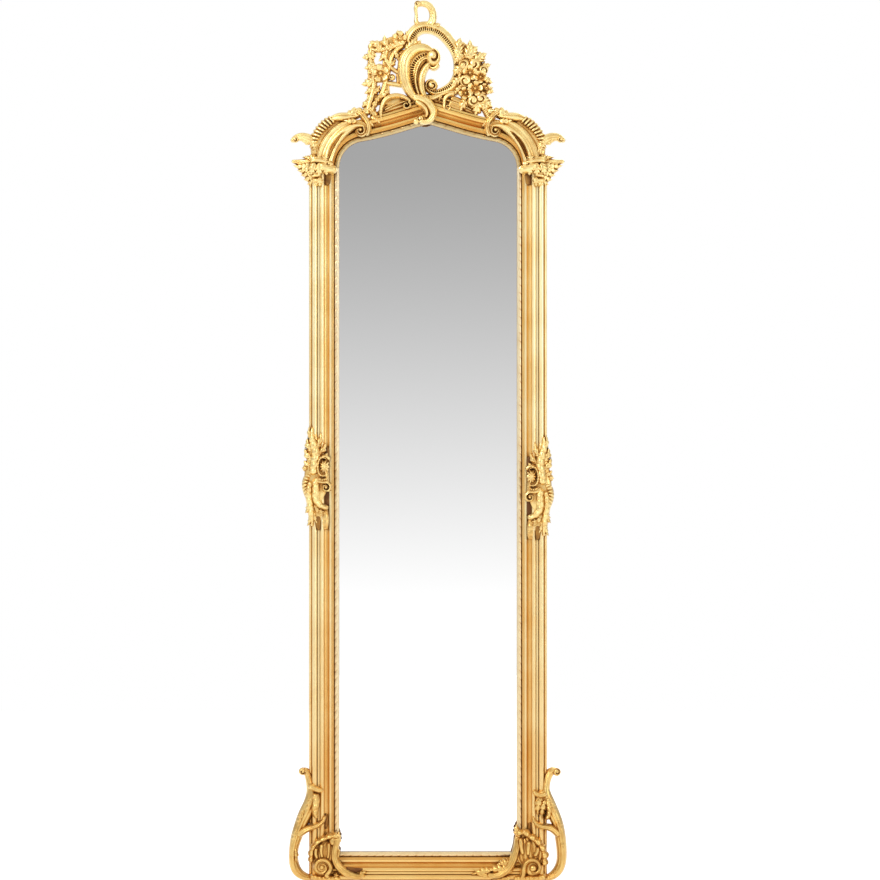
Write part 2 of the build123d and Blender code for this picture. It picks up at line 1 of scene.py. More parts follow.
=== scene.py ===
import bpy
import numpy as np
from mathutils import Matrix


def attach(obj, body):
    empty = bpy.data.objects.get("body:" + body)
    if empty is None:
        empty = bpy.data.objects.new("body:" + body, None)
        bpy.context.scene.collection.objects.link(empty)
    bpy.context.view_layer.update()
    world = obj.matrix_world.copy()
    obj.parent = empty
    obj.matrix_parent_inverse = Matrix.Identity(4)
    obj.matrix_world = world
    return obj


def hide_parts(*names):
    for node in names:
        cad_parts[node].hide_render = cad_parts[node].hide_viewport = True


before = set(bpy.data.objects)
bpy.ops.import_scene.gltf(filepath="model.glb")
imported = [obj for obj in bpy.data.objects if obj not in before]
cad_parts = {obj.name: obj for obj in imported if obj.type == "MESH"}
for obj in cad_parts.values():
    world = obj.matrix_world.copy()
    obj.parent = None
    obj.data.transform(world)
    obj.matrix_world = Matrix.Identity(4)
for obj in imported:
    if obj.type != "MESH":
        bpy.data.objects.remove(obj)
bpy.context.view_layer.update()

# The two uprights, the foot rail and the arch are lengths of one softwood moulding,
# coated with gesso, gilded over a red-brown ground and browned in the hollows as toning and painted shade.
# They are mitred at the foot and at the point of the arch, and the back is bare wood.

# In metres: half the glass width seen, its foot, where the arch springs, its point, and the frame's back
half_sight = 0.2
sight_foot = 0.0675
spring = 1.6075
apex = 1.706
frame_back = 0.022


def linear(code):
    """A colour written as sRGB hex, turned to linear: a straight line to 0.04045, then a power of 2.4."""
    parts = np.array([int(code[place:place + 2], 16) for place in (1, 3, 5)]) / 255
    parts = np.where(parts > 0.04045, ((parts + 0.055) / 1.055) ** 2.4, parts / 12.92)
    return (*parts.tolist(), 1.0)


def add(tree, kind, inputs=None, **settings):
    """One node with its settings; each input is given a value or joined to another node's socket."""
    made = tree.nodes.new(kind)
    for name, value in settings.items():
        setattr(made, name, value)
    for place, value in (inputs or {}).items():
        if isinstance(value, bpy.types.NodeSocket):
            tree.links.new(value, made.inputs[place])
        else:
            made.inputs[place].default_value = value
    return made


def gilding(name, bright, amber, ground, floor_multiplier, bare, bare_from, mottle):
    """Gold leaf over bole: bright on the high parts, amber and then the brown ground where the carving is
    hollow, a browning that is toning and painted shade. Tone is the piece's own hollow value, plus painted
    contact shade with toning where ambient occlusion finds the place closed in, plus mottling of the leaf,
    so many clouds to the metre. The colour given for floor level is what the colour is multiplied by at the
    floor. Behind bare_from, and on faces turned to the wall, the two bare colours show."""
    material = bpy.data.materials.new(name)
    material.use_nodes = True
    tree = material.node_tree
    tree.nodes.clear()
    place = add(tree, "ShaderNodeTexCoord").outputs["Object"]
    hollow = add(tree, "ShaderNodeAttribute", attribute_name="hollow").outputs["Fac"]
    # Ambient occlusion browns closed-in places and the contacts between shells: painted contact shade, with
    # toning
    nook = add(tree, "ShaderNodeAmbientOcclusion", {"Distance": 0.009}, samples=6).outputs["AO"]
    # Hand-laid leaf varies over 2 to 11 cm from piece to piece, and its wrinkles are 2 to 3 mm across
    cloud = add(tree, "ShaderNodeTexNoise", {"Vector": place, "Scale": mottle, "Detail": 3.0}).outputs["Fac"]
    wrinkle = add(tree, "ShaderNodeTexNoise", {"Vector": place, "Scale": 420.0, "Detail": 2.0}).outputs["Fac"]
    closed = add(tree, "ShaderNodeMapRange", {"Value": nook, "From Min": 0.8,
                                              "From Max": 0.1}).outputs["Result"]
    uneven = add(tree, "ShaderNodeMapRange", {"Value": cloud, "From Min": 0.35, "From Max": 0.7,
                                              "To Min": -0.08, "To Max": 0.24}).outputs["Result"]
    # Tone adds the hollow value, which browns cuts as toning and painted shade, to the painted contact shade
    tone = add(tree, "ShaderNodeMath", {0: hollow, 1: 0.7, 2: closed}, operation="MULTIPLY_ADD").outputs[0]
    tone = add(tree, "ShaderNodeMath", {0: tone, 1: uneven}, operation="ADD").outputs[0]
    warm = add(tree, "ShaderNodeMapRange", {"Value": tone, "From Min": 0.0,
                                            "From Max": 0.55}).outputs["Result"]
    deep = add(tree, "ShaderNodeMapRange", {"Value": tone, "From Min": 0.55,
                                            "From Max": 1.25}).outputs["Result"]
    leaf_colour = add(tree, "ShaderNodeMix", {"Factor": warm, 6: linear(bright), 7: linear(amber)},
                      data_type="RGBA").outputs[2]
    leaf_colour = add(tree, "ShaderNodeMix", {"Factor": deep, 6: leaf_colour, 7: linear(ground)},
                      data_type="RGBA").outputs[2]
    # Below 1.6 m the colour is multiplied toward the one given for floor level, by the square of the way down
    low = add(tree, "ShaderNodeSeparateXYZ", {"Vector": place}).outputs["Z"]
    low = add(tree, "ShaderNodeMapRange", {"Value": low, "From Min": 1.6, "From Max": 0.0}).outputs["Result"]
    low = add(tree, "ShaderNodeMath", {0: low, 1: 2.2}, operation="POWER").outputs[0]
    leaf_colour = add(tree, "ShaderNodeMix", {"Factor": low, 6: leaf_colour, 7: linear(floor_multiplier)},
                      data_type="RGBA", blend_type="MULTIPLY").outputs[2]
    metal = add(tree, "ShaderNodeMapRange", {"Value": deep, "To Min": 0.82, "To Max": 0.3}).outputs["Result"]
    rough = add(tree, "ShaderNodeMapRange", {"Value": deep, "To Min": 0.27, "To Max": 0.55}).outputs["Result"]
    rough = add(tree, "ShaderNodeMath", {0: wrinkle, 1: 0.12, 2: rough}, operation="MULTIPLY_ADD").outputs[0]
    dents = add(tree, "ShaderNodeBump", {"Height": wrinkle, "Distance": 0.0005,
                                         "Strength": 0.35}).outputs["Normal"]
    gold = add(tree, "ShaderNodeBsdfPrincipled", {"Base Color": leaf_colour, "Metallic": metal,
                                                  "Roughness": rough, "Normal": dents})
    # The unseen back is left as bare wood or as the brush-painted ground, its streaks about 4 mm wide
    depth = add(tree, "ShaderNodeSeparateXYZ", {"Vector": place}).outputs["Y"]
    behind = add(tree, "ShaderNodeMath", {0: depth, 1: bare_from}, operation="GREATER_THAN").outputs[0]
    facing = add(tree, "ShaderNodeNewGeometry").outputs["True Normal"]
    facing = add(tree, "ShaderNodeSeparateXYZ", {"Vector": facing}).outputs["Y"]
    backs = add(tree, "ShaderNodeMath", {0: facing, 1: 0.75}, operation="GREATER_THAN").outputs[0]
    behind = add(tree, "ShaderNodeMath", {0: behind, 1: backs}, operation="MAXIMUM").outputs[0]
    stretched = add(tree, "ShaderNodeMapping", {"Vector": place, "Scale": (1.0, 1.0, 0.05)}).outputs["Vector"]
    grain = add(tree, "ShaderNodeTexNoise", {"Vector": stretched, "Scale": 260.0,
                                             "Detail": 4.0}).outputs["Fac"]
    grain = add(tree, "ShaderNodeMapRange", {"Value": grain, "From Min": 0.3,
                                             "From Max": 0.7}).outputs["Result"]
    pale, dark = bare
    wood_colour = add(tree, "ShaderNodeMix", {"Factor": grain, 6: linear(pale), 7: linear(dark)},
                      data_type="RGBA").outputs[2]
    wood = add(tree, "ShaderNodeBsdfPrincipled", {"Base Color": wood_colour, "Roughness": 0.75})
    both = add(tree, "ShaderNodeMixShader", {"Fac": behind, 1: gold.outputs[0], 2: wood.outputs[0]})
    add(tree, "ShaderNodeOutputMaterial", {"Surface": both.outputs[0]})
    return material


def raise_mesh(name, shells, material, sharp=None):
    """Closed shells as one mesh. A shell is a grid of points (rows along it, columns once round it) and a
    hollow value for each; the ends are closed to a point, and a shell whose signed volume is negative is
    turned round."""
    points, hollows, quads, corners = [], [], [], []
    start = 0
    for grid, hollow in shells:
        rows, columns = grid.shape[:2]
        flat = np.concatenate([grid.reshape(-1, 3), grid[:1].mean(axis=1), grid[-1:].mean(axis=1)])
        index = np.arange(rows * columns).reshape(rows, columns)
        beside = np.roll(index, -1, axis=1)
        sides = np.stack([index[:-1], beside[:-1], beside[1:], index[1:]], axis=-1).reshape(-1, 4)
        first = np.full(columns, rows * columns)
        ends = np.concatenate([np.stack([first, beside[0], index[0]], axis=-1),
                               np.stack([first + 1, index[-1], beside[-1]], axis=-1)])
        a, b, c, d = (flat[sides[:, k]] for k in range(4))
        e, f, g = (flat[ends[:, k]] for k in range(3))
        volume = ((a * np.cross(b, c)).sum() + (a * np.cross(c, d)).sum() + (e * np.cross(f, g)).sum())
        if volume < 0:
            sides, ends = sides[:, ::-1], ends[:, ::-1]
        points.append(flat)
        hollows.append(np.append(np.broadcast_to(hollow, (rows, columns)).ravel(), (0.0, 0.0)))
        quads.append(sides + start)
        corners.append(ends + start)
        start += len(flat)
    points, quads, corners = np.concatenate(points), np.concatenate(quads), np.concatenate(corners)
    mesh = bpy.data.meshes.new(name)
    mesh.vertices.add(len(points))
    mesh.vertices.foreach_set("co", points.ravel())
    mesh.loops.add(quads.size + corners.size)
    mesh.loops.foreach_set("vertex_index", np.concatenate([quads.ravel(), corners.ravel()]))
    mesh.polygons.add(len(quads) + len(corners))
    mesh.polygons.foreach_set("loop_start", np.concatenate([
        4 * np.arange(len(quads)), quads.size + 3 * np.arange(len(corners))]))
    mesh.polygons.foreach_set("use_smooth", np.ones(len(quads) + len(corners), dtype=bool))
    mesh.update(calc_edges=True)
    mesh.attributes.new("hollow", "FLOAT", "POINT").data.foreach_set("value", np.concatenate(hollows))
    if sharp:
        mesh.set_sharp_from_angle(angle=np.radians(sharp))
    mesh.materials.append(material)
    made = bpy.data.objects.new(name, mesh)
    bpy.context.collection.objects.link(made)
    return made


def round_arc(start, middle, end, count=9):
    """Points at even turns on the circle through three points, whose centre is equally far from each."""
    start, middle, end = (np.array(p, float) for p in (start, middle, end))
    sides = 2 * np.array([middle - start, end - start])
    centre = np.linalg.solve(sides, [(middle ** 2).sum() - (start ** 2).sum(),
                                     (end ** 2).sum() - (start ** 2).sum()])
    turns = [np.arctan2(*(p - centre)[::-1]) for p in (start, middle, end)]
    sweep = np.unwrap(turns)
    turn = np.linspace(sweep[0], sweep[2], count)[:, None]
    return centre + np.hypot(*(start - centre)) * np.concatenate([np.cos(turn), np.sin(turn)], axis=1)


def moulding_outline(full):
    """The moulding's section: across from the sight edge, up from the back, and how hollow each place is,
    which browns the quirks and the cove as toning and painted shade.
    It is written in mm as points and arcs, and a full one has the outer roll that the arch leaves off."""
    parts = [
        ([(47.5, 38), (43.3, 38)], 0.0), ([(42.9, 36.4)], 0.6),
        (round_arc((42.5, 38), (38.45, 41), (33.5, 36), 13), 0.05),
        ([(33.2, 35.2)], 0.55),
        (round_arc((32.9, 34.6), (26.3, 24), (21.9, 27), 15), 0.5),
        ([(21.5, 27.6), (17.5, 28)], 0.0), ([(17.2, 27.4), (11.9, 22)], 0.45),
        ([(11.5, 17), (1, 17), (1, 12), (9, 12), (9, 8), (24, 8), (24, 0)], 0.9 if full else 0.4),
    ]
    if full:
        parts += [
            ([(67.5, 0), (67.5, 26)], 0.1),
            (round_arc((67.4, 26.6), (63.5, 30), (59.9, 27), 9), 0.1),
            ([(59.5, 26.5), (59.5, 33.6)], 0.55),
            (round_arc((59.3, 34.4), (54.55, 43), (48.9, 37), 15), 0.0),
            ([(48.5, 35.6), (47.5, 35.6)], 0.6),
        ]
    else:
        parts += [([(47.5, 0)], 0.1)]
    outline = np.concatenate([np.array(points, float) for points, _ in parts]) / 1000
    hollow = np.concatenate([np.full(len(points), tone) for points, tone in parts])
    return outline[:, 0], outline[:, 1], hollow


def curve_to(start, end, heading, count):
    """An arc from start to end that leaves at the given heading: it turns by twice the angle to the chord,
    and each chord so far is as long as the sine of half the turn so far."""
    start, end = np.array(start), np.array(end)
    chord = end - start
    turn = 2 * (np.arctan2(chord[1], chord[0]) - heading)
    part = np.linspace(0, 1, count)
    reach = np.hypot(*chord) * np.sin(turn * part / 2) / np.sin(turn / 2)
    way = heading + turn * part / 2
    return start + reach[:, None] * np.stack([np.cos(way), np.sin(way)], axis=1), heading + turn * part


def sight_line():
    """Left half of the sight edge above the spring, and its heading at each place: a round shoulder from
    upright to nearly level, then one arc to the knee and one arc to the point."""
    radius = 0.06
    turn = np.radians(np.linspace(90, 10, 25))
    centre = np.array([radius - half_sight, spring])
    shoulder_run = centre + radius * np.stack([-np.sin(turn), np.cos(turn)], axis=1)
    knee = (-0.3 * half_sight, apex - 0.18 * (apex - spring))
    flank, flank_way = curve_to(shoulder_run[-1], knee, turn[-1], 17)
    top, top_way = curve_to(knee, (0, apex), flank_way[-1], 13)
    line = np.concatenate([shoulder_run, flank[1:], top[1:]])
    return line, np.concatenate([turn, flank_way[1:], top_way[1:]])


def along_upright(across):
    """Lines up the left side, each mitred at the foot as far below the sight as it is outside it."""
    part = np.linspace(0, 1, 9)[:, None]
    foot = sight_foot - across
    return np.stack([np.broadcast_to(-half_sight - across, (9, len(across))),
                     foot + (spring - foot) * part], axis=-1)


def along_foot(across):
    """Lines under the sight between the two mitres."""
    part = np.linspace(-1, 1, 9)[:, None]
    return np.stack([(half_sight + across) * part, np.broadcast_to(sight_foot - across, (9, len(across)))],
                    axis=-1)


def along_arch(across):
    """Lines beside the arch, each run straight on to the middle at its end."""
    line, way = sight_line()
    outward = np.stack([-np.sin(way), np.cos(way)], axis=1)
    lines = line[:, None] + across[None, :, None] * outward[:, None]
    last = np.stack([np.zeros(len(across)), apex + across / np.cos(way[-1])], axis=-1)
    return np.concatenate([lines, last[None]])


def carried(lines, height):
    """A section carried along its lines: each point stands its own height in front of the back."""
    depth = np.broadcast_to(frame_back - height, lines.shape[:2])
    return np.stack([lines[..., 0], depth, lines[..., 1]], axis=-1)


def turned_over(shells):
    """The same shells on the other side of the mirror: right and left change places."""
    return [(grid * (-1, 1, 1), hollow) for grid, hollow in shells]


# Bare softwood, pale and dark in its grain, shows in the last half millimetre of the back.
# The arch's gilding is given darker, warmer colours than the uprights'.
bare_softwood = ("#B98E5C", "#8E6238")
bare_back = frame_back - 0.0005
moulding_gilt = gilding("gilt_on_gesso", bright="#FFF1BE", amber="#EDBF6A", ground="#94622A", floor_multiplier="#E6CBA0",
                        bare=bare_softwood, bare_from=bare_back, mottle=9.0)
arch_gilt = gilding("gilt_on_arch", bright="#F3CE7C", amber="#D08F3A", ground="#7E4A18", floor_multiplier="#FFFFFF",
                    bare=bare_softwood, bare_from=bare_back, mottle=9.0)
for node, lines, full, coat in (("left_stile", along_upright, True, moulding_gilt),
                                ("right_stile", along_upright, True, moulding_gilt),
                                ("bottom_rail", along_foot, True, moulding_gilt),
                                ("arch_rail_left", along_arch, False, arch_gilt),
                                ("arch_rail_right", along_arch, False, arch_gilt)):
    across, height, hollow = moulding_outline(full)
    shells = [(carried(lines(across), height), hollow)]
    piece = raise_mesh("gilt_" + node, turned_over(shells) if "right" in node else shells, coat, 38)
    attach(piece, "frame")
    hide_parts(node)

# The sight edge is a narrow beading of cast composition, a ribbon wound round a rod.
# It is pinned and glued to the lip of the moulding and meets itself at the mitres.
# One turn of the ribbon takes about 18 mm, with a nick at each crossing, darkened in colour as painted shade.
ribbon_turn = 0.018


def ribbon(lines_of, length, count):
    """A rounded strip nicked slantwise along its outer half: height is a half circle, less a narrow groove
    wherever the distance run, plus part of a turn across the strip, comes round to a whole number of
    turns."""
    turn = np.linspace(0, np.pi, 13)
    across = np.concatenate([5.5 * (1 + np.cos(turn)), [1.0, 5.5, 10.0]]) / 1000
    crown = np.concatenate([5.2 * np.sin(turn) ** 0.8, [0.0, 0.0, 0.0]]) / 1000
    coarse = lines_of(across)
    run = np.linspace(0, 1, len(coarse))
    fine = np.linspace(0, 1, count)
    lines = np.stack([[np.interp(fine, run, coarse[:, column, axis]) for column in range(len(across))]
                      for axis in (0, 1)], axis=-1).transpose(1, 0, 2)
    wound = fine[:, None] * length / ribbon_turn + (across - 0.0055) / 0.011 * 0.35
    near = np.abs(wound - np.round(wound))
    outer = np.clip((across - 0.0035) / 0.004, 0, 1)
    groove = np.exp(-(near / 0.09) ** 2) * outer
    swell = 1 - 0.03 * np.cos(2 * np.pi * wound) * outer
    height = 0.017 + crown * swell * (1 - 0.16 * groove)
    depth = frame_back - height
    # The nicks are given as the hollow value, which darkens them as painted shade
    return np.stack([lines[..., 0], depth, lines[..., 1]], axis=-1), groove * (crown > 0)


# The beading is paler than the moulding, as its leaf is rubbed; on the arch it is given darker colours
beading_gilt = gilding("gilt_beading", bright="#EAD9B2", amber="#D8B988", ground="#80562C", floor_multiplier="#FFF6E6",
                       bare=bare_softwood, bare_from=bare_back, mottle=30.0)
arch_beading = gilding("gilt_arch_beading", bright="#CDB582", amber="#B8955C", ground="#7A5228",
                       floor_multiplier="#FFFFFF", bare=bare_softwood, bare_from=bare_back, mottle=30.0)
for node, lines, length, count, coat in (("sight_strip_left", along_upright, 1.54, 900, beading_gilt),
                                         ("sight_strip_right", along_upright, 1.54, 900, beading_gilt),
                                         ("sight_strip_bottom", along_foot, 0.41, 240, beading_gilt),
                                         ("sight_strip_arch_left", along_arch, 0.235, 140, arch_beading),
                                         ("sight_strip_arch_right", along_arch, 0.235, 140, arch_beading)):
    shells = [ribbon(lines, length, count)]
    piece = raise_mesh("ribbon_" + node, turned_over(shells) if "right" in node else shells, coat)
    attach(piece, "frame")
    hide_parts(node)

# The plate is 4 mm float glass, silvered and painted on the back.
# It lies loose in the rebate and is held there by the backing board.
mirror_coat = bpy.data.materials.new("silvered_float_glass")
mirror_coat.use_nodes = True
silver = mirror_coat.node_tree.nodes["Principled BSDF"]
silver.inputs["Base Color"].default_value = linear("#F5F5F5")
silver.inputs["Metallic"].default_value = 1.0
silver.inputs["Roughness"].default_value = 0.0
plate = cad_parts["mirror_glass"]
plate.data.materials.clear()
plate.data.materials.append(mirror_coat)

# The back is closed with a sheet of thin poplar plywood, screwed into the rebate all round.
# Its face grain runs up the sheet and it was never finished.
plywood = bpy.data.materials.new("poplar_plywood")
plywood.use_nodes = True
tree = plywood.node_tree
board = tree.nodes["Principled BSDF"]
place = add(tree, "ShaderNodeTexCoord").outputs["Object"]
stretched = add(tree, "ShaderNodeMapping", {"Vector": place, "Scale": (1.0, 1.0, 0.04)}).outputs["Vector"]
# Poplar's grain lines are about 3 mm apart, with slow bands some 40 mm wide
bands = add(tree, "ShaderNodeTexNoise", {"Vector": stretched, "Scale": 24.0, "Detail": 2.0,
                                         "Distortion": 0.6})
grain = add(tree, "ShaderNodeTexNoise", {"Vector": stretched, "Scale": 330.0, "Detail": 5.0,
                                         "Distortion": 0.3})
mixed = add(tree, "ShaderNodeMath", {0: bands.outputs["Fac"], 1: grain.outputs["Fac"]},
            operation="ADD").outputs[0]
streak = add(tree, "ShaderNodeMapRange", {"Value": mixed, "From Min": 0.75,
                                          "From Max": 1.25}).outputs["Result"]
sheet_colour = add(tree, "ShaderNodeMix", {"Factor": streak, 6: linear("#CBA877"), 7: linear("#9C7345")},
                   data_type="RGBA").outputs[2]
tree.links.new(sheet_colour, board.inputs["Base Color"])
fibres = add(tree, "ShaderNodeBump", {"Height": grain.outputs["Fac"], "Distance": 0.0003, "Strength": 0.4})
tree.links.new(fibres.outputs["Normal"], board.inputs["Normal"])
board.inputs["Roughness"].default_value = 0.72
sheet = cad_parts["backing_board"]
sheet.data.materials.clear()
sheet.data.materials.append(plywood)

# The screws, the two strap hangers and their rings are steel, plated with zinc in a barrel.
# The straps are stamped and rolled round the rings, which swing in them.
zinc = bpy.data.materials.new("zinc_plated_steel")
zinc.use_nodes = True
tree = zinc.node_tree
plating = tree.nodes["Principled BSDF"]
place = add(tree, "ShaderNodeTexCoord").outputs["Object"]
# Barrel plating leaves soft patches 3 to 5 mm across
patch = add(tree, "ShaderNodeTexNoise", {"Vector": place, "Scale": 240.0, "Detail": 3.0}).outputs["Fac"]
patch_colour = add(tree, "ShaderNodeMix", {"Factor": patch, 6: linear("#C9CBCD"), 7: linear("#A2A3A0")},
                   data_type="RGBA").outputs[2]
patch_rough = add(tree, "ShaderNodeMapRange", {"Value": patch, "To Min": 0.24,
                                               "To Max": 0.46}).outputs["Result"]
tree.links.new(patch_colour, plating.inputs["Base Color"])
tree.links.new(patch_rough, plating.inputs["Roughness"])
plating.inputs["Metallic"].default_value = 1.0
for node in ("backing_screws", "hanger_screws", "hanger_strap_left", "hanger_strap_right",
             "hanger_ring_left", "hanger_ring_right"):
    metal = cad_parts[node]
    metal.data.materials.clear()
    metal.data.materials.append(zinc)

# The ornament is cast in composition from carved moulds, wired and glued on in pieces.
# Every piece is gilded with the frame: burnished on its high parts, browned in its cuts as toning and painted
# shade.
# The big open C of the crest comes first. A row of nicks runs in its groove.

# All ornament is laid out in steps of 2.25 mm from a place of its own, here the point of the arch
step = 0.00225
crest = (0.0, apex)
ornament_gilt = gilding("gilt_on_composition", bright="#F6DF9C", amber="#D29C4A", ground="#6B4014",
                        floor_multiplier="#E8D4B2", bare=("#8A5A2B", "#6E421C"), bare_from=0.0035, mottle=55.0)


def even_run(stations, spacing):
    """A natural cubic spline through the stations, whatever they hold beside right and up, read off at places
    evenly spaced along its length. Also gives the distance run to each place."""
    stations = np.array(stations, float)
    knots = np.append(0, np.cumsum(np.hypot(*np.diff(stations[:, :2], axis=0).T) ** 0.5))
    gap = np.diff(knots)
    inner = np.arange(1, len(knots) - 1)
    matrix, rates = np.eye(len(knots)), np.zeros_like(stations)
    matrix[inner, inner - 1], matrix[inner, inner + 1] = gap[:-1], gap[1:]
    matrix[inner, inner] = 2 * (gap[:-1] + gap[1:])
    rates[1:-1] = 6 * np.diff(np.diff(stations, axis=0) / gap[:, None], axis=0)
    bends = np.linalg.solve(matrix, rates)
    place = np.linspace(0, knots[-1], 60 * len(knots))
    span = np.clip(np.searchsorted(knots, place) - 1, 0, len(gap) - 1)
    after = ((place - knots[span]) / gap[span])[:, None]
    before = 1 - after
    curve = (before * stations[span] + after * stations[span + 1]
             + ((before ** 3 - before) * bends[span] + (after ** 3 - after) * bends[span + 1])
             * gap[span][:, None] ** 2 / 6)
    length = np.append(0, np.cumsum(np.hypot(*np.diff(curve[:, :2], axis=0).T)))
    count = int(np.clip(length[-1] / spacing, 16, 320))
    run = np.linspace(0, length[-1], count)
    return np.stack([np.interp(run, length, column) for column in curve.T], axis=1), run


def limb(at, stations, back, cut=None, edge=None, tips=(1.0, 1.0), full=1.0, lean=0.0, belly=0.0, fine=0.6):
    """A limb of a casting, carried along a spline through stations of right, up, width (in steps) and rise
    (in mm). Across it u goes from -1 to 1, left of the way it runs being 1. Its height is the rise times (1
    - u^2)^(full/2), less the share that cut(u, run) takes out, which also browns it as toning and painted
    shade, and the more, as painted shadow, where over 0.6 is taken; the edge at u = 1 moves out by
    edge(run); rounded tips shrink it as a circle does; lean tips its face, belly rounds its back."""
    line, run = even_run(stations, fine)
    way = np.gradient(line[:, :2], axis=0)
    way /= np.hypot(*way.T)[:, None]
    side = np.stack([-way[:, 1], way[:, 0]], axis=1)
    half = np.maximum(line[:, 2], 0.3) / 2
    shrink = np.ones(len(run))
    for tip, away, size in ((tips[0], run, half[0]), (tips[1], run[-1] - run, half[-1])):
        if tip:
            near = np.clip(away / (tip * size), 0.02, 1)
            shrink = np.minimum(shrink, np.sqrt(1 - (1 - near) ** 2))
    turn = np.linspace(0, np.pi, 27)
    across = np.concatenate([-np.cos(turn), [0.72, 0.0, -0.72]])[None]
    front = np.concatenate([np.sin(turn) ** full, [0.0, 0.0, 0.0]])[None]
    behind = np.concatenate([0 * turn, [0.7, 1.0, 0.7]])[None]
    taken = np.zeros((len(run), across.size)) if cut is None else cut(across, run[:, None]) * (front > 0.02)
    reach = across * (half * shrink)[:, None]
    if edge is not None:
        reach = reach + np.clip(across, 0, 1) * edge(run[:, None])
    height = line[:, 3:4] * (0.25 + 0.75 * shrink[:, None]) * front * (1 - taken)
    height = height + lean * across * half[:, None] * (front > 0.02)
    flat = line[:, None, :2] + reach[..., None] * side[:, None]
    depth = back - height + belly * behind * shrink[:, None]
    grid = np.stack([at[0] + step * flat[..., 0], depth / 1000, at[1] + step * flat[..., 1]], axis=-1)
    # The hollow browns the cuts as toning and painted shade; past 0.6 taken it darkens further as painted
    # shadow
    return grid, np.clip(taken * 1.1, 0, 1) + 0.9 * np.clip((taken - 0.6) / 0.3, 0, 1)


def nicks(where, wide, deep, spacing):
    """A shallow groove along the limb with a row of short cuts across it: a bell curve across, and along it a
    cosine raised to the sixth, so that each cut is about a third of the spacing."""
    return lambda u, run: (np.exp(-((u - where) / wide) ** 4)
                           * (0.12 + deep * np.abs(np.cos(np.pi * run / spacing)) ** 6))


def flutes(deep, *places, wide=0.14):
    """Plain grooves along the limb: a narrow bell curve across it at each place."""
    return lambda u, run: deep * sum(np.exp(-((u - place) / wide) ** 2) for place in places) + 0 * run


def ribs(deep, spacing, slant=0.0, start=-2.0):
    """Ribs across the limb with sharp cuts between: a cosine along it, which slant turns with u, raised to
    the sixth, on the part of the width beyond start."""
    return lambda u, run: (deep * np.abs(np.cos(np.pi * (run + slant * u) / spacing)) ** 6
                           * np.clip((u - start) * 4, 0, 1))


def both(*cuts):
    """Several cuts in one limb: each takes its share of what is left."""
    return lambda u, run: 1 - np.prod([1 - cut(u, run) for cut in cuts], axis=0)


def volute(centre, radius, start, turns, width, rise, ease=0.22):
    """Stations round a spiral: radius, width and rise all shrink evenly as it turns inward."""
    part = np.linspace(0, 1, int(abs(turns) * 8) + 2)
    angle = np.radians(start + 360 * turns * part)
    size = radius * (1 - (1 - ease) * part)
    return [(centre[0] + r * np.cos(a), centre[1] + r * np.sin(a), width * (1 - 0.45 * p),
             rise * (1 - 0.12 * p)) for r, a, p in zip(size, angle, part)]


def boss(at, centre, radius, back, rise, turns=0.0, start=0.0, tall=1.0, lobes=0, tilt=(0.0, 0.0)):
    """A domed button: its wall is four tenths of the rise, and on it stands a dome of the rest times the
    root of 1 - q^2, q being 0 in the middle and 1 at the rim. A groove winds into it where the angle, plus
    the turns times q, comes round; lobes pinch its rim and dome."""
    share = np.concatenate([np.sin(np.linspace(0.02, 1, 20) * np.pi / 2), [0.98, 0.6, 0.05]])[:, None]
    front = np.concatenate([np.ones(20), [0, 0, 0]])[:, None]
    angle = np.linspace(0, 2 * np.pi, 44, endpoint=False)[None]
    pinch = 0.5 - 0.5 * np.abs(np.cos(lobes * (angle - start) / 2)) if lobes else 0 * angle
    wound = share * abs(turns) + np.sign(turns) * (angle - start) / (2 * np.pi)
    groove = 0 * wound
    if turns:
        groove = np.exp(-((wound - np.round(wound)) / 0.13) ** 2) * np.clip((share - 0.12) * 6, 0, 1)
    groove = np.maximum(groove * 0.85, pinch * share)
    size = radius * share * (1 - 0.5 * pinch)
    right, up = size * np.cos(angle), size * np.sin(angle) * tall
    height = front * rise * (np.sqrt(1.0001 - share ** 2) * 0.6 + 0.4) * (1 - 0.42 * groove)
    height = height + front * (tilt[0] * right + tilt[1] * up)
    grid = np.stack([at[0] + step * (centre[0] + right), (back - height) / 1000,
                     at[1] + step * (centre[1] + up)], axis=-1)
    # The winding groove and the pinches are the hollow value, browned as toning and painted shade
    return grid, np.clip(front * groove, 0, 1)


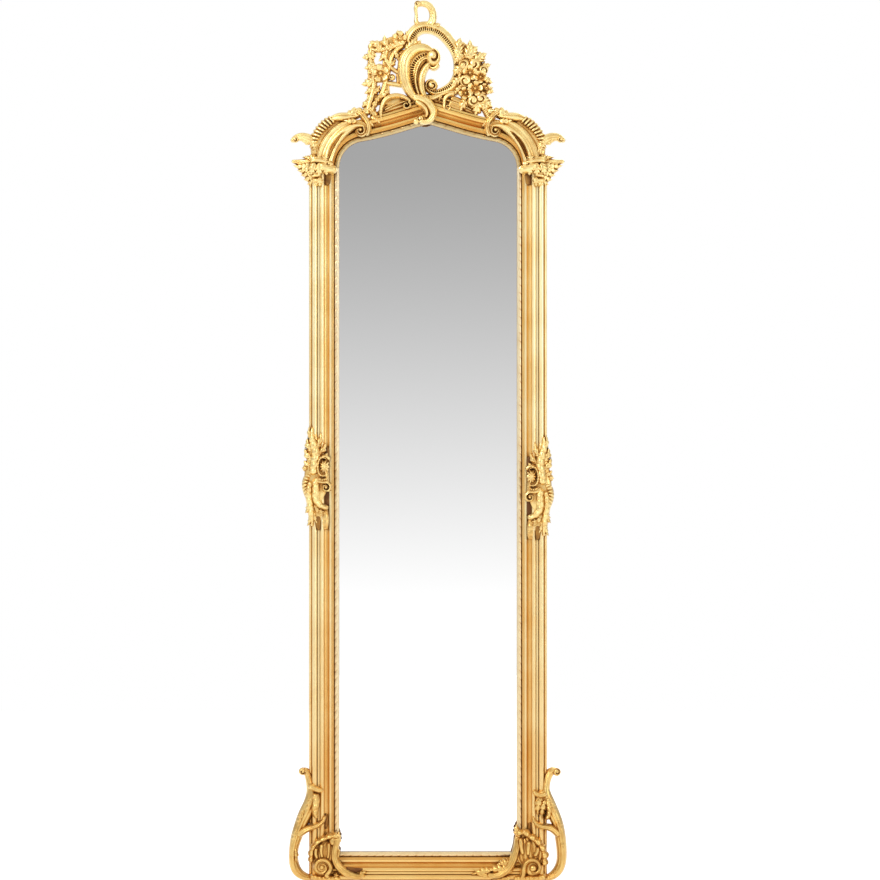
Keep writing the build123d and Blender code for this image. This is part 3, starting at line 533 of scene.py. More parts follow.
def leaf(at, base, tip, width, back, rise, lobes=3, bend=0.0, curl=0.0, body=0.55):
    """A toothed leaf. Its middle line bows sideways by bend; its half width swells and dies as a sine, cut
    by teeth that lean toward the tip; it is ridged, with a sunk vein and a crease behind each tooth, and
    its tip curls up."""
    base, tip = np.array(base, float), np.array(tip, float)
    reach = tip - base
    part = np.linspace(0, 1, 14 * lobes + 16)[:, None]
    bow = np.array([-reach[1], reach[0]]) * bend
    line = base + reach * part + bow * 4 * part * (1 - part)
    way = reach + bow * 4 * (1 - 2 * part)
    way /= np.hypot(*way.T)[:, None]
    side = np.stack([-way[:, 1], way[:, 0]], axis=1)
    tooth = (part * lobes + 0.15) % 1
    teeth = 1 - 0.27 * (1 - np.sin(np.pi * tooth ** 1.3)) * np.clip(part * 6, 0, 1)
    half = width / 2 * (0.3 * (1 - part) + 0.9 * np.sin(np.pi * np.clip(part, 0, 0.995) ** body)) * teeth
    turn = np.linspace(0, np.pi, 21)
    across = np.concatenate([-np.cos(turn), [0.6, 0.0, -0.6]])[None]
    front = np.concatenate([np.sin(turn) ** 0.7, [0.0, 0.0, 0.0]])[None]
    spread = across * half
    ahead = np.abs(across) ** 1.4 * half * 0.55 * np.clip((1 - part) * 5, 0.1, 1)
    crease = np.exp(-((tooth - 0.5 + 0.5 * np.sign(0.5 - tooth)) / 0.11) ** 2) * np.abs(across)
    vein = np.exp(-(across / 0.13) ** 2)
    cut = np.clip(0.5 * crease + 0.3 * vein * np.clip(1.2 - part, 0, 1), 0, 0.7) * (front > 0.05)
    lift = curl * part ** 2
    swelling = 0.45 + 0.55 * np.sin(np.pi * np.clip(part, 0, 1) ** 0.6)
    height = rise * front * swelling * (0.78 + 0.22 * (1 - np.abs(across)))
    flat = line[:, None] + spread[..., None] * side[:, None] + ahead[..., None] * way[:, None]
    depth = back - lift - height * (1 - 0.55 * cut)
    grid = np.stack([at[0] + step * flat[..., 0], depth / 1000, at[1] + step * flat[..., 1]], axis=-1)
    # The creases and the vein are the hollow value, browned as toning and painted shade
    return grid, cut * 0.7


def casting(name, shells, *nodes):
    """One gilded casting that stands for its solids and rides with the frame. Its shells are set 0.05 mm
    behind one another in turn, so that no two flat backs lie in one plane."""
    shells = [(grid + (0, 0.00005 * (turn % 13), 0), hollow) for turn, (grid, hollow) in enumerate(shells)]
    piece = raise_mesh(name, shells, ornament_gilt)
    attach(piece, "frame")
    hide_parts(*nodes)


casting("open_c_scroll", [
    limb(crest, [(-19.5, 79, 11, 22), (-17, 87, 12, 24), (-10.5, 94, 12.5, 25), (-2, 96.3, 12.5, 25),
                 (9, 93.5, 12, 25), (18, 86.5, 12, 25), (25, 77.5, 11.5, 25), (29.5, 68, 11, 25),
                 (31, 57, 11, 25), (30, 47, 11.5, 25), (25, 38, 11.5, 25), (16, 32.5, 9.5, 24),
                 (6.5, 30.5, 6.5, 22)] + volute((4, 38), 6.4, 262, -1.3, 5.4, 25), 4,
         cut=both(nicks(-0.3, 0.3, 0.55, 2.2), flutes(0.1, 0.55)), full=0.8, belly=2),
    limb(crest, [(31, 63, 4, 20), (37, 57, 7, 22), (37.5, 47, 8, 22), (32, 36, 8, 22), (22, 28.5, 6, 20)], 3,
         cut=ribs(0.3, 2.8, 0.8), edge=lambda run: 0.5 * np.abs(np.sin(np.pi * run / 2.8))),
    limb(crest, [(28, 31, 6, 18), (18, 31, 7, 19), (10, 27.5, 7.5, 20), (2, 24.5, 7, 22), (-5, 24, 6, 22)], 1,
         cut=flutes(0.15, -0.35)),
    boss(crest, (4.3, 38), 5.6, 0, 25, turns=1.2, start=3.0),
    leaf(crest, (26, 74), (34, 55), 9, -12, 12, 3, bend=0.12),
    leaf(crest, (-23, 72), (-11, 89), 11, -9, 12, 4, bend=-0.1),
    leaf(crest, (-18, 73), (-7, 84), 8, -8, 11, 3, bend=-0.1),
], "crest_outer_scroll")

# The acanthus lies over the C: a fat crescent, a row of nicks, a thin ridge and a slim
# inner limb, rolled over at the top and gathered at the foot into a looped tie.


def sunk(tone):
    """No grooves, only an even loss of height, browned evenly as painted shade for a web of gold sunk
    between other limbs; with a high tone it is a thin plate painted dark as a shadow.
    """
    return lambda u, run: tone + 0 * u * run


casting("acanthus_crescent", [
    limb(crest, [(6, 70.5, 5, 20), (-2, 74.5, 9, 23), (-13, 73.5, 12, 26), (-21.5, 65, 14, 27),
                 (-23.5, 51, 14, 27), (-21, 38.5, 12, 27), (-15.5, 28.5, 9.5, 26), (-9, 22, 8, 24)], -4,
         cut=flutes(0.1, -0.3), full=0.8, lean=-0.15),
    limb(crest, [(7, 66, 9, 16), (-5, 66, 13, 17), (-13, 57, 15, 18), (-14, 46, 15, 18), (-12, 35, 12, 17),
                 (-8, 26, 8, 16)], -6, cut=both(sunk(0.25), nicks(-0.25, 0.2, 0.9, 2.2)), full=0.4),
    limb(crest, [(3, 65.5, 3, 20), (-5, 63, 3.6, 22), (-10, 56, 3.8, 22), (-12.5, 46, 3.8, 22),
                 (-11, 34, 3.8, 22), (-8, 26, 4, 20)], -5, full=0.9),
    limb(crest, [(4.5, 61.5, 5, 22), (-1, 57, 7, 25), (-5.5, 49.5, 8, 26), (-7, 40, 8, 26), (-5.5, 31, 7, 25),
                 (-2, 23, 6, 23)], -4, cut=flutes(0.14, 0.35), full=0.8, lean=0.2),
    boss(crest, (5, 65.5), 7.6, -5, 31, turns=-1.0, start=2.9, tall=1.2, tilt=(0.3, 0.1)),
    limb(crest, [(9.5, 61, 5, 24), (8.5, 56.5, 5.5, 22), (4.5, 54.8, 4.5, 19), (1.5, 57.5, 2.5, 16)], -5),
    leaf(crest, (-18, 69), (5, 74.5), 8, -12, 15, 3, bend=0.12),
    limb(crest, [(-16, 25.5, 7, 15), (-8, 24.5, 8.5, 17), (-1, 21, 9, 19), (4, 14.5, 9, 20), (5, 8, 8, 20),
                 (1.5, 2.8, 6.5, 19), (-4, 1, 5.5, 17), (-9, 2.5, 4.5, 15)], -17, cut=flutes(0.1, 0.1),
         full=0.8),
    limb(crest, [(-13, 22, 5, 16), (-6.5, 18.5, 6, 17), (-2, 13.5, 5.5, 17), (-1, 8, 4.5, 16),
                 (-3, 5, 3.5, 14)], -17, full=0.9),
    boss(crest, (-7.5, 4), 3.8, -16, 16, turns=1.0, start=1.0),
    boss(crest, (-12, 1.5), 3.0, -16, 13),
    limb(crest, [(-12, 28, 5, 22), (-5, 25.5, 5, 24), (1, 26, 5, 22)], -9, cut=ribs(0.2, 1.8)),
], "crest_acanthus_scroll")

# Above the C stands a loop of two limbs, a thick folded one and a thin one whose
# tip curls over; it is cast in the round, because light passes through it.
casting("finial_loop", [
    limb(crest, [(-3, 96, 9, 9), (2.5, 99, 8.5, 10), (5, 105.5, 7.6, 10), (4.4, 112, 7.4, 10),
                 (1, 117.4, 7, 10), (-4.5, 119.6, 6.4, 9), (-9, 118.8, 5, 8), (-11, 116.5, 3.5, 7)], -8,
         cut=both(flutes(0.16, 0.25), ribs(0.06, 3.4, 1.4)), full=0.9, belly=7, lean=0.2),
    limb(crest, [(-9, 119.5, 4, 8), (-12, 116, 4, 7), (-12, 111.5, 3.4, 6), (-11.6, 107, 3.4, 6),
                 (-11.8, 102.5, 4.5, 7), (-10, 98, 6.5, 9)], -8, full=0.9, belly=5),
    boss(crest, (-10.2, 119.4), 3.4, -8, 11, turns=1.0, tall=0.9),
    leaf(crest, (6, 93), (13, 99), 6, -12, 8, 2, bend=0.2),
], "crest_finial")

# The arch carries a low plinth behind the crest, with a stepped and hollowed face.
# Small C-scrolls, a ribbon and a few leaves are planted on it at either hand.
casting("stepped_plinth", [
    limb(crest, [(-49, 8, 9, 23), (-40, 13.5, 12, 24), (-24, 19, 13, 24), (0, 24, 12, 24), (24, 19, 13, 24),
                 (40, 13.5, 12, 24), (49, 8, 8, 23)], 16,
         cut=flutes(0.15, 0.3, -0.45), full=0.25, tips=(0, 0)),
    limb(crest, [(-44, 13, 3, 28), (-30, 19.5, 3, 29), (-14, 24.5, 3, 29), (0, 27.5, 3, 29),
                 (14, 24.5, 3, 29), (30, 19.5, 3, 29), (44, 13, 3, 28)], 14, full=0.6),
    # These two webs on the plinth's right are browned as painted shade
    limb(crest, [(20, 20, 7, 14), (27, 17.5, 7, 14), (34, 14.5, 7, 14)], -6, full=0.3,
         cut=both(sunk(0.35), flutes(0.15, 0.1, wide=0.2))),
    limb(crest, [(22, 26, 6, 13), (30, 23, 6, 13), (38, 19, 6, 13)], -3, full=0.3, cut=sunk(0.3)),
], "crest_plinth")
casting("left_base_scroll", [
    limb(crest, [(-46.5, 3, 3, 15), (-47, 10, 4, 16), (-46, 17, 5, 17), (-42, 24, 5.5, 18),
                 (-34, 27.5, 5.5, 18), (-25, 26.5, 5, 18), (-18.5, 22.5, 4, 17)]
         + volute((-21.5, 18), 4.2, 50, -1.2, 3.2, 18), -5, cut=flutes(0.11, 0.1, wide=0.2), full=0.9),
    leaf(crest, (-48, 27), (-58, 5), 6, -6, 16, 4, bend=-0.06),
    leaf(crest, (-58, 6), (-47, -1), 6, -8, 15, 3, bend=0.1),
    leaf(crest, (-50, 22), (-44, 30), 5, -6, 13, 3, bend=0.15),
], "crest_base_scroll_left")
casting("right_base_scroll", [
    limb(crest, [(27, 29, 4, 15), (21, 28.5, 5, 16), (16.5, 24, 5, 16), (16, 18, 4.5, 16)]
         + volute((19.5, 16), 3.6, 190, 1.1, 3, 16), -5, cut=flutes(0.1, 0.0, wide=0.2)),
    leaf(crest, (14, 29), (10, 21), 4, -7, 12, 2),
], "crest_base_scroll_right")

# The left of the crest is an openwork spray: wired stems with leaves and open flowers,
# thin webs of composition behind them, and gaps that the light shows through.


def flower(at, centre, radius, back, rise, petals=5, start=0.3, tilt=(0.0, 0.0)):
    """An open flower: a cosine of the angle scallops the rim once for each petal and cuts a crease between
    two. From the middle outward its height climbs as a quarter sine and drops again at the rim, and a
    half-round button stands in the middle. Tilt leans the whole flower."""
    share = np.concatenate([np.linspace(0.02, 1, 24), [0.94, 0.5, 0.05]])[:, None]
    front = np.concatenate([np.ones(24), [0.0, 0.0, 0.0]])[:, None]
    angle = np.linspace(0, 2 * np.pi, 60, endpoint=False)[None]
    crest_of_petal = np.abs(np.cos(petals * (angle - start) / 2))
    rim = 0.72 + 0.28 * crest_of_petal ** 0.7
    crease = (1 - crest_of_petal) ** 3 * np.clip((share - 0.25) * 3, 0, 1)
    climb = np.sin(np.pi / 2 * np.clip((share - 0.25) / 0.6, 0, 1))
    bowl = 0.42 + 0.5 * climb - 0.5 * np.clip(share - 0.85, 0, 1) / 0.15
    button = 0.95 * np.sqrt(np.clip(1 - (share / 0.27) ** 2, 0, 1))
    height = front * rise * np.maximum(bowl * (1 - 0.5 * crease), button)
    right, up = radius * rim * share * np.cos(angle), radius * rim * share * np.sin(angle)
    height = height + front * (tilt[0] * right + tilt[1] * up)
    # The creases and a ring round the button's foot are browned as toning and painted shade
    ring = np.exp(-((share - 0.29) / 0.07) ** 2)
    grid = np.stack([at[0] + step * (centre[0] + right), (back - height) / 1000,
                     at[1] + step * (centre[1] + up)], axis=-1)
    return grid, np.clip(front * (crease * 0.9 + 0.45 * ring), 0, 1)


spray_webs = (
    [(-57, 75, 7, 9), (-57, 62, 7, 9), (-56, 50, 9, 9), (-55, 38, 9, 9), (-56, 26, 10, 9), (-59, 12, 8, 9)],
    [(-60, 77, 9, 9), (-48, 77, 11, 10), (-34, 80, 15, 11), (-20, 83, 14, 11)],
    [(-41, 79, 12, 10), (-40, 67, 10, 10), (-40, 57, 10, 10), (-36, 54, 8, 10)],
    [(-60, 51, 16, 10), (-48, 50, 18, 10), (-39, 55, 11, 10)],
    [(-25, 74, 10, 10), (-25, 62, 9, 10), (-27, 50, 10, 10), (-26, 38, 10, 10)],
    [(-57, 22, 13, 9), (-46, 24, 10, 9), (-36, 23, 9, 9), (-27, 27, 8, 9)],
    [(-41, 48, 6, 10), (-41.5, 38, 6, 10), (-41, 27, 7, 10)],
)
spray = [
    limb(crest, [(-56, 77, 4, 11), (-57.5, 67, 5, 12), (-56, 56, 5.5, 13), (-54, 44, 6, 13),
                 (-55.5, 31, 6.5, 14), (-59, 18, 7, 14), (-62, 8, 6, 13)], -1, cut=flutes(0.14, 0.2),
         belly=2),
    limb(crest, [(-24, 79, 7, 13), (-32, 73, 6, 13), (-37, 64, 5.5, 13), (-39.5, 53, 5.5, 13),
                 (-42.5, 41, 5.5, 13), (-46, 30, 6, 13), (-51, 20, 6, 13)], -1, cut=flutes(0.14, -0.2),
         belly=2),
    limb(crest, [(-59, 73.5, 4, 11), (-50, 73.5, 6, 13), (-41, 75, 7, 14), (-31, 79, 8, 15),
                 (-21, 82, 8, 15)], -1, cut=ribs(0.14, 3.4, 1.0), belly=2),
    limb(crest, [(-40, 74, 4.5, 12), (-42.5, 66, 4.5, 12), (-38.5, 57.5, 5, 12), (-31.5, 52, 5, 12),
                 (-24, 48, 4.5, 11)], -2, belly=1),
    limb(crest, [(-59, 57, 5, 11), (-49, 55, 8, 13), (-38, 54, 6, 12)], -1, belly=1),
    limb(crest, [(-46, 42, 5, 11), (-37, 40, 5.5, 12), (-24, 38, 5, 11)], -1, belly=1),
    *(limb(crest, web, -1, cut=sunk(0.25), full=0.3) for web in spray_webs),
    flower(crest, (-47.5, 50), 10, -3, 17, 5, 0.5, tilt=(0.25, -0.2)),
    flower(crest, (-28, 84.5), 8, -6, 13, 5, 0.2, tilt=(-0.2, 0.3)),
    flower(crest, (-39.5, 76.5), 5, -4, 13, 4, 0.6),
    flower(crest, (-56, 68), 4.6, -4, 12, 5, 0.1),
    boss(crest, (-41, 62), 3.2, -4, 11, lobes=4),
    boss(crest, (-36, 46), 3.4, -4, 12, turns=1.0),
]
for base, tip, width, bend in (((-37, 74), (-43, 89), 9, 0.15), ((-32, 77), (-36, 89), 7, -0.12),
                               ((-25, 82), (-30, 94), 9, 0.12), ((-22, 82), (-22, 93), 7, -0.1),
                               ((-47, 72), (-59, 82), 9, -0.15), ((-54, 72), (-60, 63), 7, 0.1),
                               ((-53, 46), (-67, 39), 10, 0.12), ((-54, 38), (-64, 30), 7, 0.12),
                               ((-43, 74), (-50, 62), 7, 0.15), ((-35, 73), (-29, 61), 7, 0.1),
                               ((-53, 61), (-64, 55), 8, 0.1), ((-57, 69), (-66, 66), 7, 0.1),
                               ((-53, 58), (-60, 49), 7, 0.1), ((-41, 57), (-32, 65), 7, -0.1),
                               ((-45, 44), (-37, 51), 6, 0.1), ((-56, 30), (-48, 39), 7, -0.12),
                               ((-60, 17), (-51, -2), 9, 0.1), ((-57, 22), (-66, 15), 7, -0.1),
                               ((-40, 34), (-50, 24), 7, 0.1)):
    spray.append(leaf(crest, base, tip, width, -3, 13, 3, bend=bend, curl=3))
casting("pierced_spray", spray, "crest_spray")

# The right of the crest is a close bunch of small curled flowers between toothed leaves.
# It ends below in a ribbed strap that runs out over the arch.
bouquet = [
    limb(crest, [(31, 82, 8, 13), (37, 69, 17, 16), (43, 55, 24, 18), (46, 41, 28, 19), (45, 27, 26, 19),
                 (42, 14, 16, 16)], 4, full=0.6),
    limb(crest, [(55, 15, 5, 16), (60, 8, 7, 17), (63.5, 2, 7, 17), (66, -5, 5, 15)], -4,
         cut=ribs(0.25, 1.9)),
]
for right, up, radius, turn, lean in ((42, 50, 9, 0.3, (-0.2, 0.3)), (52.5, 46, 7.5, 0.9, (0.5, 0.2)),
                                      (47, 34.5, 9, 0.1, (0.2, -0.2)), (37.5, 30, 7.5, 0.7, (-0.3, -0.3)),
                                      (57, 34, 6.5, 0.5, (0.7, 0.0))):
    bouquet.append(flower(crest, (right, up), radius, -8, 18, 5, turn, tilt=lean))
for right, up, spin, size in ((46, 59, 1.1, 6.5), (36, 58, -1.1, 6), (37.5, 42.5, -1.1, 6.5),
                              (53, 25, 1.1, 6), (45, 22.5, -1.1, 6), (55, 53, 1.1, 5)):
    bouquet.append(boss(crest, (right, up), size, -9, 17, turns=spin, start=right))
for base, tip, width, bend, lobes in (((33, 67), (33, 86), 13, 0.12, 4), ((36, 64), (42, 84), 12, -0.1, 4),
                                      ((42, 62), (50, 77), 13, 0.12, 4), ((46, 58), (59, 70), 13, 0.1, 4),
                                      ((52, 52), (63, 59), 9, 0.1, 3), ((54, 47), (65, 41), 9, -0.12, 3),
                                      ((56, 39), (66, 31), 10, -0.1, 3), ((54, 29), (65, 16), 11, -0.12, 4),
                                      ((48, 26), (46, 6), 13, 0.1, 4), ((40, 24), (32, 10), 10, -0.1, 3),
                                      ((52, 23), (59, 8), 10, 0.1, 3), ((33, 60), (28, 47), 8, 0.1, 3),
                                      ((35, 37), (26, 28), 9, -0.1, 3)):
    bouquet.append(leaf(crest, base, tip, width, -5, 16, lobes, bend=bend, curl=3))
for base, tip, width, bend in (((36, 68), (26, 58), 9, -0.12), ((37, 57), (25.5, 46), 10, -0.12),
                               ((35, 45), (23, 36), 9, -0.1), ((36, 52), (28, 55), 7, 0.1)):
    bouquet.append(leaf(crest, base, tip, width, -13, 13, 4, bend=bend, curl=1))
casting("flower_bunch", bouquet, "crest_bouquet")

# Each shoulder has a broad hollowed scroll between two rims, ending in a volute.
# Outside it lies a shell edge of narrow ribs, and a hooked leaf stands clear of the frame.
shoulder = (-half_sight, spring)


def shoulder_face(deep):
    """The scroll's face: a rim each side, a wide hollow between as a cosine, and near the inner rim a
    channel, deepest in the middle of its run. Its half width follows 1 - q^2, q being the way from there,
    and its depth follows that to the power 0.4."""

    def taken(u, run):
        wide_hollow = 0.22 * np.clip(np.cos(np.pi * (u - 0.28) / 0.9), 0, 1) * (u > -0.17) * (u < 0.73)
        open_part = np.clip(1 - ((run - 24) / 21) ** 2, 0, 1)
        channel = deep * open_part ** 0.4 * np.exp(-((u + 0.47) / (0.06 + 0.17 * open_part)) ** 4)
        return wide_hollow * (1 - channel) + channel + 0.12 * np.exp(-((u - 0.8) / 0.05) ** 2)
    return taken


scroll_line = [(-16, 0, 16, 34), (-14, 10, 17, 36), (-10.5, 20, 17, 36), (-5, 29, 16.5, 36),
               (2.5, 36.5, 15, 36), (10, 41, 12.5, 35), (18, 42.5, 9, 34), (25, 41, 6.5, 34)]
scroll_line += volute((21.5, 36.2), 5, 35, -1.2, 5, 34)
shell = [
    limb(shoulder, [(-22, 6, 10, 16), (-22.5, 18, 12, 18), (-20.5, 28, 14, 19), (-14.5, 37, 15, 20),
                    (-6, 43.5, 15, 20), (4, 47.5, 11, 19)], 2, full=0.4, cut=sunk(0.2)),
    limb(shoulder, [(-24.5, 16, 5, 17), (-24.5, 25, 8, 21), (-19.5, 35, 10, 24), (-12, 43, 10.5, 26),
                    (-3, 48.5, 8, 26)], 2, cut=ribs(0.3, 3.6, 1.0), full=0.6,
         edge=lambda run: 1.5 * np.abs(np.sin(np.pi * (run + 1.0) / 3.6)), fine=0.25),
    limb(shoulder, [(-9, 47, 6, 22), (-1, 49.5, 9.5, 27), (7, 50, 10, 28), (15, 51, 7.5, 24),
                    (22, 53, 5, 20)], 1.5, cut=flutes(0.15, 0.3), full=0.7),
    limb(shoulder, [(17, 56, 5, 20), (23, 52, 7, 25), (28, 45.5, 7, 26), (29.5, 38, 6, 23),
                    (27, 31.5, 4, 18)], -4, cut=flutes(0.14, 0.0)),
    leaf(shoulder, (8, 49), (29, 56), 10, -10, 15, 4, bend=0.12),
    leaf(shoulder, (25, 47), (35, 40), 7, -8, 14, 3, bend=0.1),
    leaf(shoulder, (22, 50), (34, 59), 9, -6, 14, 3, bend=0.1),
    leaf(shoulder, (18, 46), (4, 47), 7, -20, 12, 3, bend=0.1),
]
hook_leaf = [
    limb(shoulder, [(-21, 10, 7, 16), (-22, 18, 9, 17), (-25, 25, 10, 17), (-31, 29, 9.5, 16),
                    (-38, 30.5, 8.5, 14), (-44, 28.8, 6.5, 12), (-47.8, 25.5, 4, 10)], 0,
         cut=flutes(0.14, 0.1, -0.4), full=0.8),
    boss(shoulder, (-43.5, 28), 3.4, -2, 14, turns=1.0, start=2.0),
    leaf(shoulder, (-28, 24), (-38, 34), 6, -3, 12, 3, bend=0.15),
    leaf(shoulder, (-24, 16), (-28, 28), 6, -6, 13, 4, bend=-0.1),
]
for side, turn, deep in (("left", list, 0.32), ("right", turned_over, 0.62)):
    shoulder_scroll = [limb(shoulder, scroll_line, 2, cut=shoulder_face(deep), full=0.5, tips=(0, 1)),
                       boss(shoulder, (21.5, 36.8), 2.4, -4, 30)]
    casting(side + "_shoulder_scroll", turn(shoulder_scroll), "shoulder_scroll_" + side)
    casting(side + "_shell_edge", turn(shell), "shoulder_shell_" + side)
    casting(side + "_hooked_leaf", turn(hook_leaf), "shoulder_leaf_" + side)

# Where arch and upright meet, a capital wraps the moulding: three cushioned bands, a roll
# turned over the inner edge, and a fan of leaves that reaches out to a sharp wing.
capital = [
    limb(shoulder, [(-30, 5, 8, 34), (-24, 6.5, 9, 38), (-14, 5.5, 9, 38), (-6, 4, 7, 34)], 5, full=0.6,
         cut=flutes(0.1, 0.4)),
    limb(shoulder, [(-29, -2, 7, 34), (-24, -1, 9, 38), (-16, -2, 9, 38), (-9, -4, 7, 34)], 5, full=0.6,
         cut=ribs(0.12, 2.8)),
    limb(shoulder, [(-28.5, -9, 6, 34), (-23, -8, 8, 38), (-17, -8.5, 7, 36)], 5, full=0.6,
         cut=flutes(0.12, 0.2)),
    limb(shoulder, [(-27.5, -14, 5, 33), (-22, -13.5, 6.5, 36), (-17, -14, 5, 34)], 5, full=0.6),
    # A thin plate browned nearly to the ground: a painted shadow in the recess between the capital and the
    # stile
    limb(shoulder, [(-11.5, -3, 7, 30), (-11.5, -10, 7.5, 32), (-11.5, -18, 5, 30)], -1, full=0.3,
         cut=sunk(0.76)),
    limb(shoulder, [(-20, 3, 7, 18), (-13, -1, 9, 20), (-6, -2.5, 9, 20), (-1.5, -2, 8, 19)], -17, full=0.8,
         cut=flutes(0.1, 0.5)),
    boss(shoulder, (-9.5, 2.5), 4, -17, 17, turns=1.0),
    limb(shoulder, [(-21, 5.5, 9, 22), (-30, 5, 8.5, 18), (-39, 5, 6.5, 13), (-47.5, 6.3, 3, 9)], -2,
         cut=flutes(0.14, 0.25, -0.3)),
    limb(shoulder, [(-24, -4, 20, 12), (-32, -2, 14, 11), (-40, 1.5, 8, 10)], -2, full=0.5),
]
capital += [
    leaf(shoulder, (-20, 6), (-29, 13), 8, -14, 17, 3, bend=0.15),
    leaf(shoulder, (-14, 5), (-13, 13), 9, -20, 16, 3),
    leaf(shoulder, (-20, -12), (-27, -19), 7, -12, 16, 3, bend=0.1),
    leaf(shoulder, (-19, -10), (-19, -20), 7, -20, 14, 3),
]
for base, tip, width, bend in (((-24, 3), (-46, 2), 10, 0.08), ((-23, 1), (-42, -3), 10, 0.08),
                               ((-23, -2), (-38.5, -8), 10, 0.08), ((-22, -6), (-35.5, -12.5), 10, 0.08),
                               ((-22, -9), (-32, -17.5), 9, 0.08), ((-25, 6), (-37, 10), 6, -0.1)):
    capital.append(leaf(shoulder, base, tip, width, -4, 20, 5, bend=bend))
for base, tip, width in (((-24, 4), (-28, -9), 8), ((-19, 4), (-20, -10), 9), ((-14, 3), (-12, -9), 8)):
    capital.append(leaf(shoulder, base, tip, width, -28, 9, 4))
for side, turn in (("left", list), ("right", turned_over)):
    casting(side + "_capital", turn(capital), "capital_" + side)

# Half way up each side a casting lies over the moulding: feathered leaves above, a shell
# boss against the inner edge, a volute below it and a leafy tail. The right one sits 22 mm lower.
for name, level, turn in (("left", 0.904, list), ("right", 0.882, turned_over)):
    side = (-half_sight - sight_foot / 2, level)
    shells = [
        limb(side, [(-10, 48, 6, 13), (-10, 36, 11, 15), (-9, 22, 17, 17), (-7.5, 8, 24, 18),
                    (-7.5, -6, 23, 18), (-9, -18, 17, 17), (-8.5, -30, 13, 15), (-6.5, -44, 11, 12)], -11,
             cut=sunk(0.2), full=0.5),
        limb(side, [(-11.5, 53, 3, 12), (-12, 44, 7, 17), (-10, 35, 10, 20), (-8, 26, 11, 22),
                    (-9, 15, 12, 23), (-11, 4, 10, 21)], -12, cut=ribs(0.12, 7, 1.5)),
        boss(side, (0.3, 13.5), 5.4, -14, 20, tall=1.4, lobes=10),
        limb(side, [(3, 21.5, 3, 18), (-2.5, 22.5, 3.4, 20), (-6, 14, 3.6, 21), (-3, 5, 3.4, 20),
                    (3, 5, 3, 18)], -15, cut=ribs(0.14, 2.4)),
        limb(side, [(-3, 22, 3, 19), (1.5, 24, 3.6, 20), (6, 20, 3, 18)], -15),
        limb(side, [(-7, 3, 5, 20), (-2, 0.5, 5, 22), (4, 2, 4, 20)], -14, cut=ribs(0.3, 1.8)),
        limb(side, [(-11, 1, 8, 21), (-4, -1, 7, 23), (3, -2, 5, 22)]
             + volute((2.3, -7), 4.6, 70, -1.3, 3.4, 23), -12, cut=flutes(0.1, 0.2, wide=0.2)),
        boss(side, (2.4, -7), 2.0, -16, 20),
        boss(side, (-18.5, 12), 3.4, -10, 16, lobes=6),
        limb(side, [(-12, 8, 7, 18), (-17, 1, 8, 21), (-18, -8, 7.5, 21), (-15, -17, 7, 20),
                    (-12, -24, 5, 18)], -9, cut=ribs(0.3, 3.2, 0.6)),
        limb(side, [(-9, 2, 10, 22), (-8, -8, 11, 25), (-8.5, -17, 10, 25), (-5, -24, 8, 23),
                    (1, -27, 6.5, 20), (4.5, -26.5, 5, 18)], -12, cut=ribs(0.1, 6, 2)),
        limb(side, [(-13, 0, 8, 21), (-14.5, -12, 9, 22), (-13, -25, 8, 21), (-12, -36, 7, 18),
                    (-11.5, -46, 2.5, 12)], -12, cut=ribs(0.12, 6, -2)),
        limb(side, [(0, -28, 7, 15), (0.8, -40, 8.5, 16), (0.5, -50, 6.5, 13)], -10, full=0.6,
             cut=both(sunk(0.35), ribs(0.1, 6))),
        # These three thin plates are browned nearly to the ground: painted shadows in the moulding's hollows
        # by the casting
        limb(side, [(-6, -35, 5, 40), (-6, -43, 5.5, 40), (-5, -50, 1.5, 40)], -14, cut=sunk(0.76), full=0.3),
        limb(side, [(2.2, -10, 6, 50), (1.8, -18, 7, 50), (2.4, -26, 6, 50)], -1, cut=sunk(0.85), full=0.3),
        limb(side, [(2, 34, 5, 50), (2.4, 28, 6, 50), (2.4, 22, 5, 50)], -1, cut=sunk(0.8), full=0.3),
        boss(side, (-3, -31), 3.0, -14, 17, lobes=5),
    ]
    for base, tip, width, bend in (((-9, 20), (-19, 33), 8, 0.15), ((-10, 28), (-16, 43), 8, 0.15),
                                   ((-9, 32), (-3, 48), 7, -0.12), ((-8, 26), (2, 38), 7, -0.15),
                                   ((-7, 22), (4, 28), 7, -0.15), ((-12, 40), (-14, 55), 5, 0.1),
                                   ((-12, 14), (-20, 20), 7, 0.1), ((-12, 4), (-2, 8), 8, 0.1),
                                   ((-9, -22), (0, -36), 8, -0.12), ((-13, -20), (-19, -33), 8, 0.12),
                                   ((-10, -30), (-5, -45), 6, -0.1), ((-13, -34), (-17, -46), 5, 0.1)):
        shells.append(leaf(side, base, tip, width, -13, 15, 3, bend=bend, curl=2))
    casting(name + "_side_ornament", turn(shells), "side_ornament_" + name)

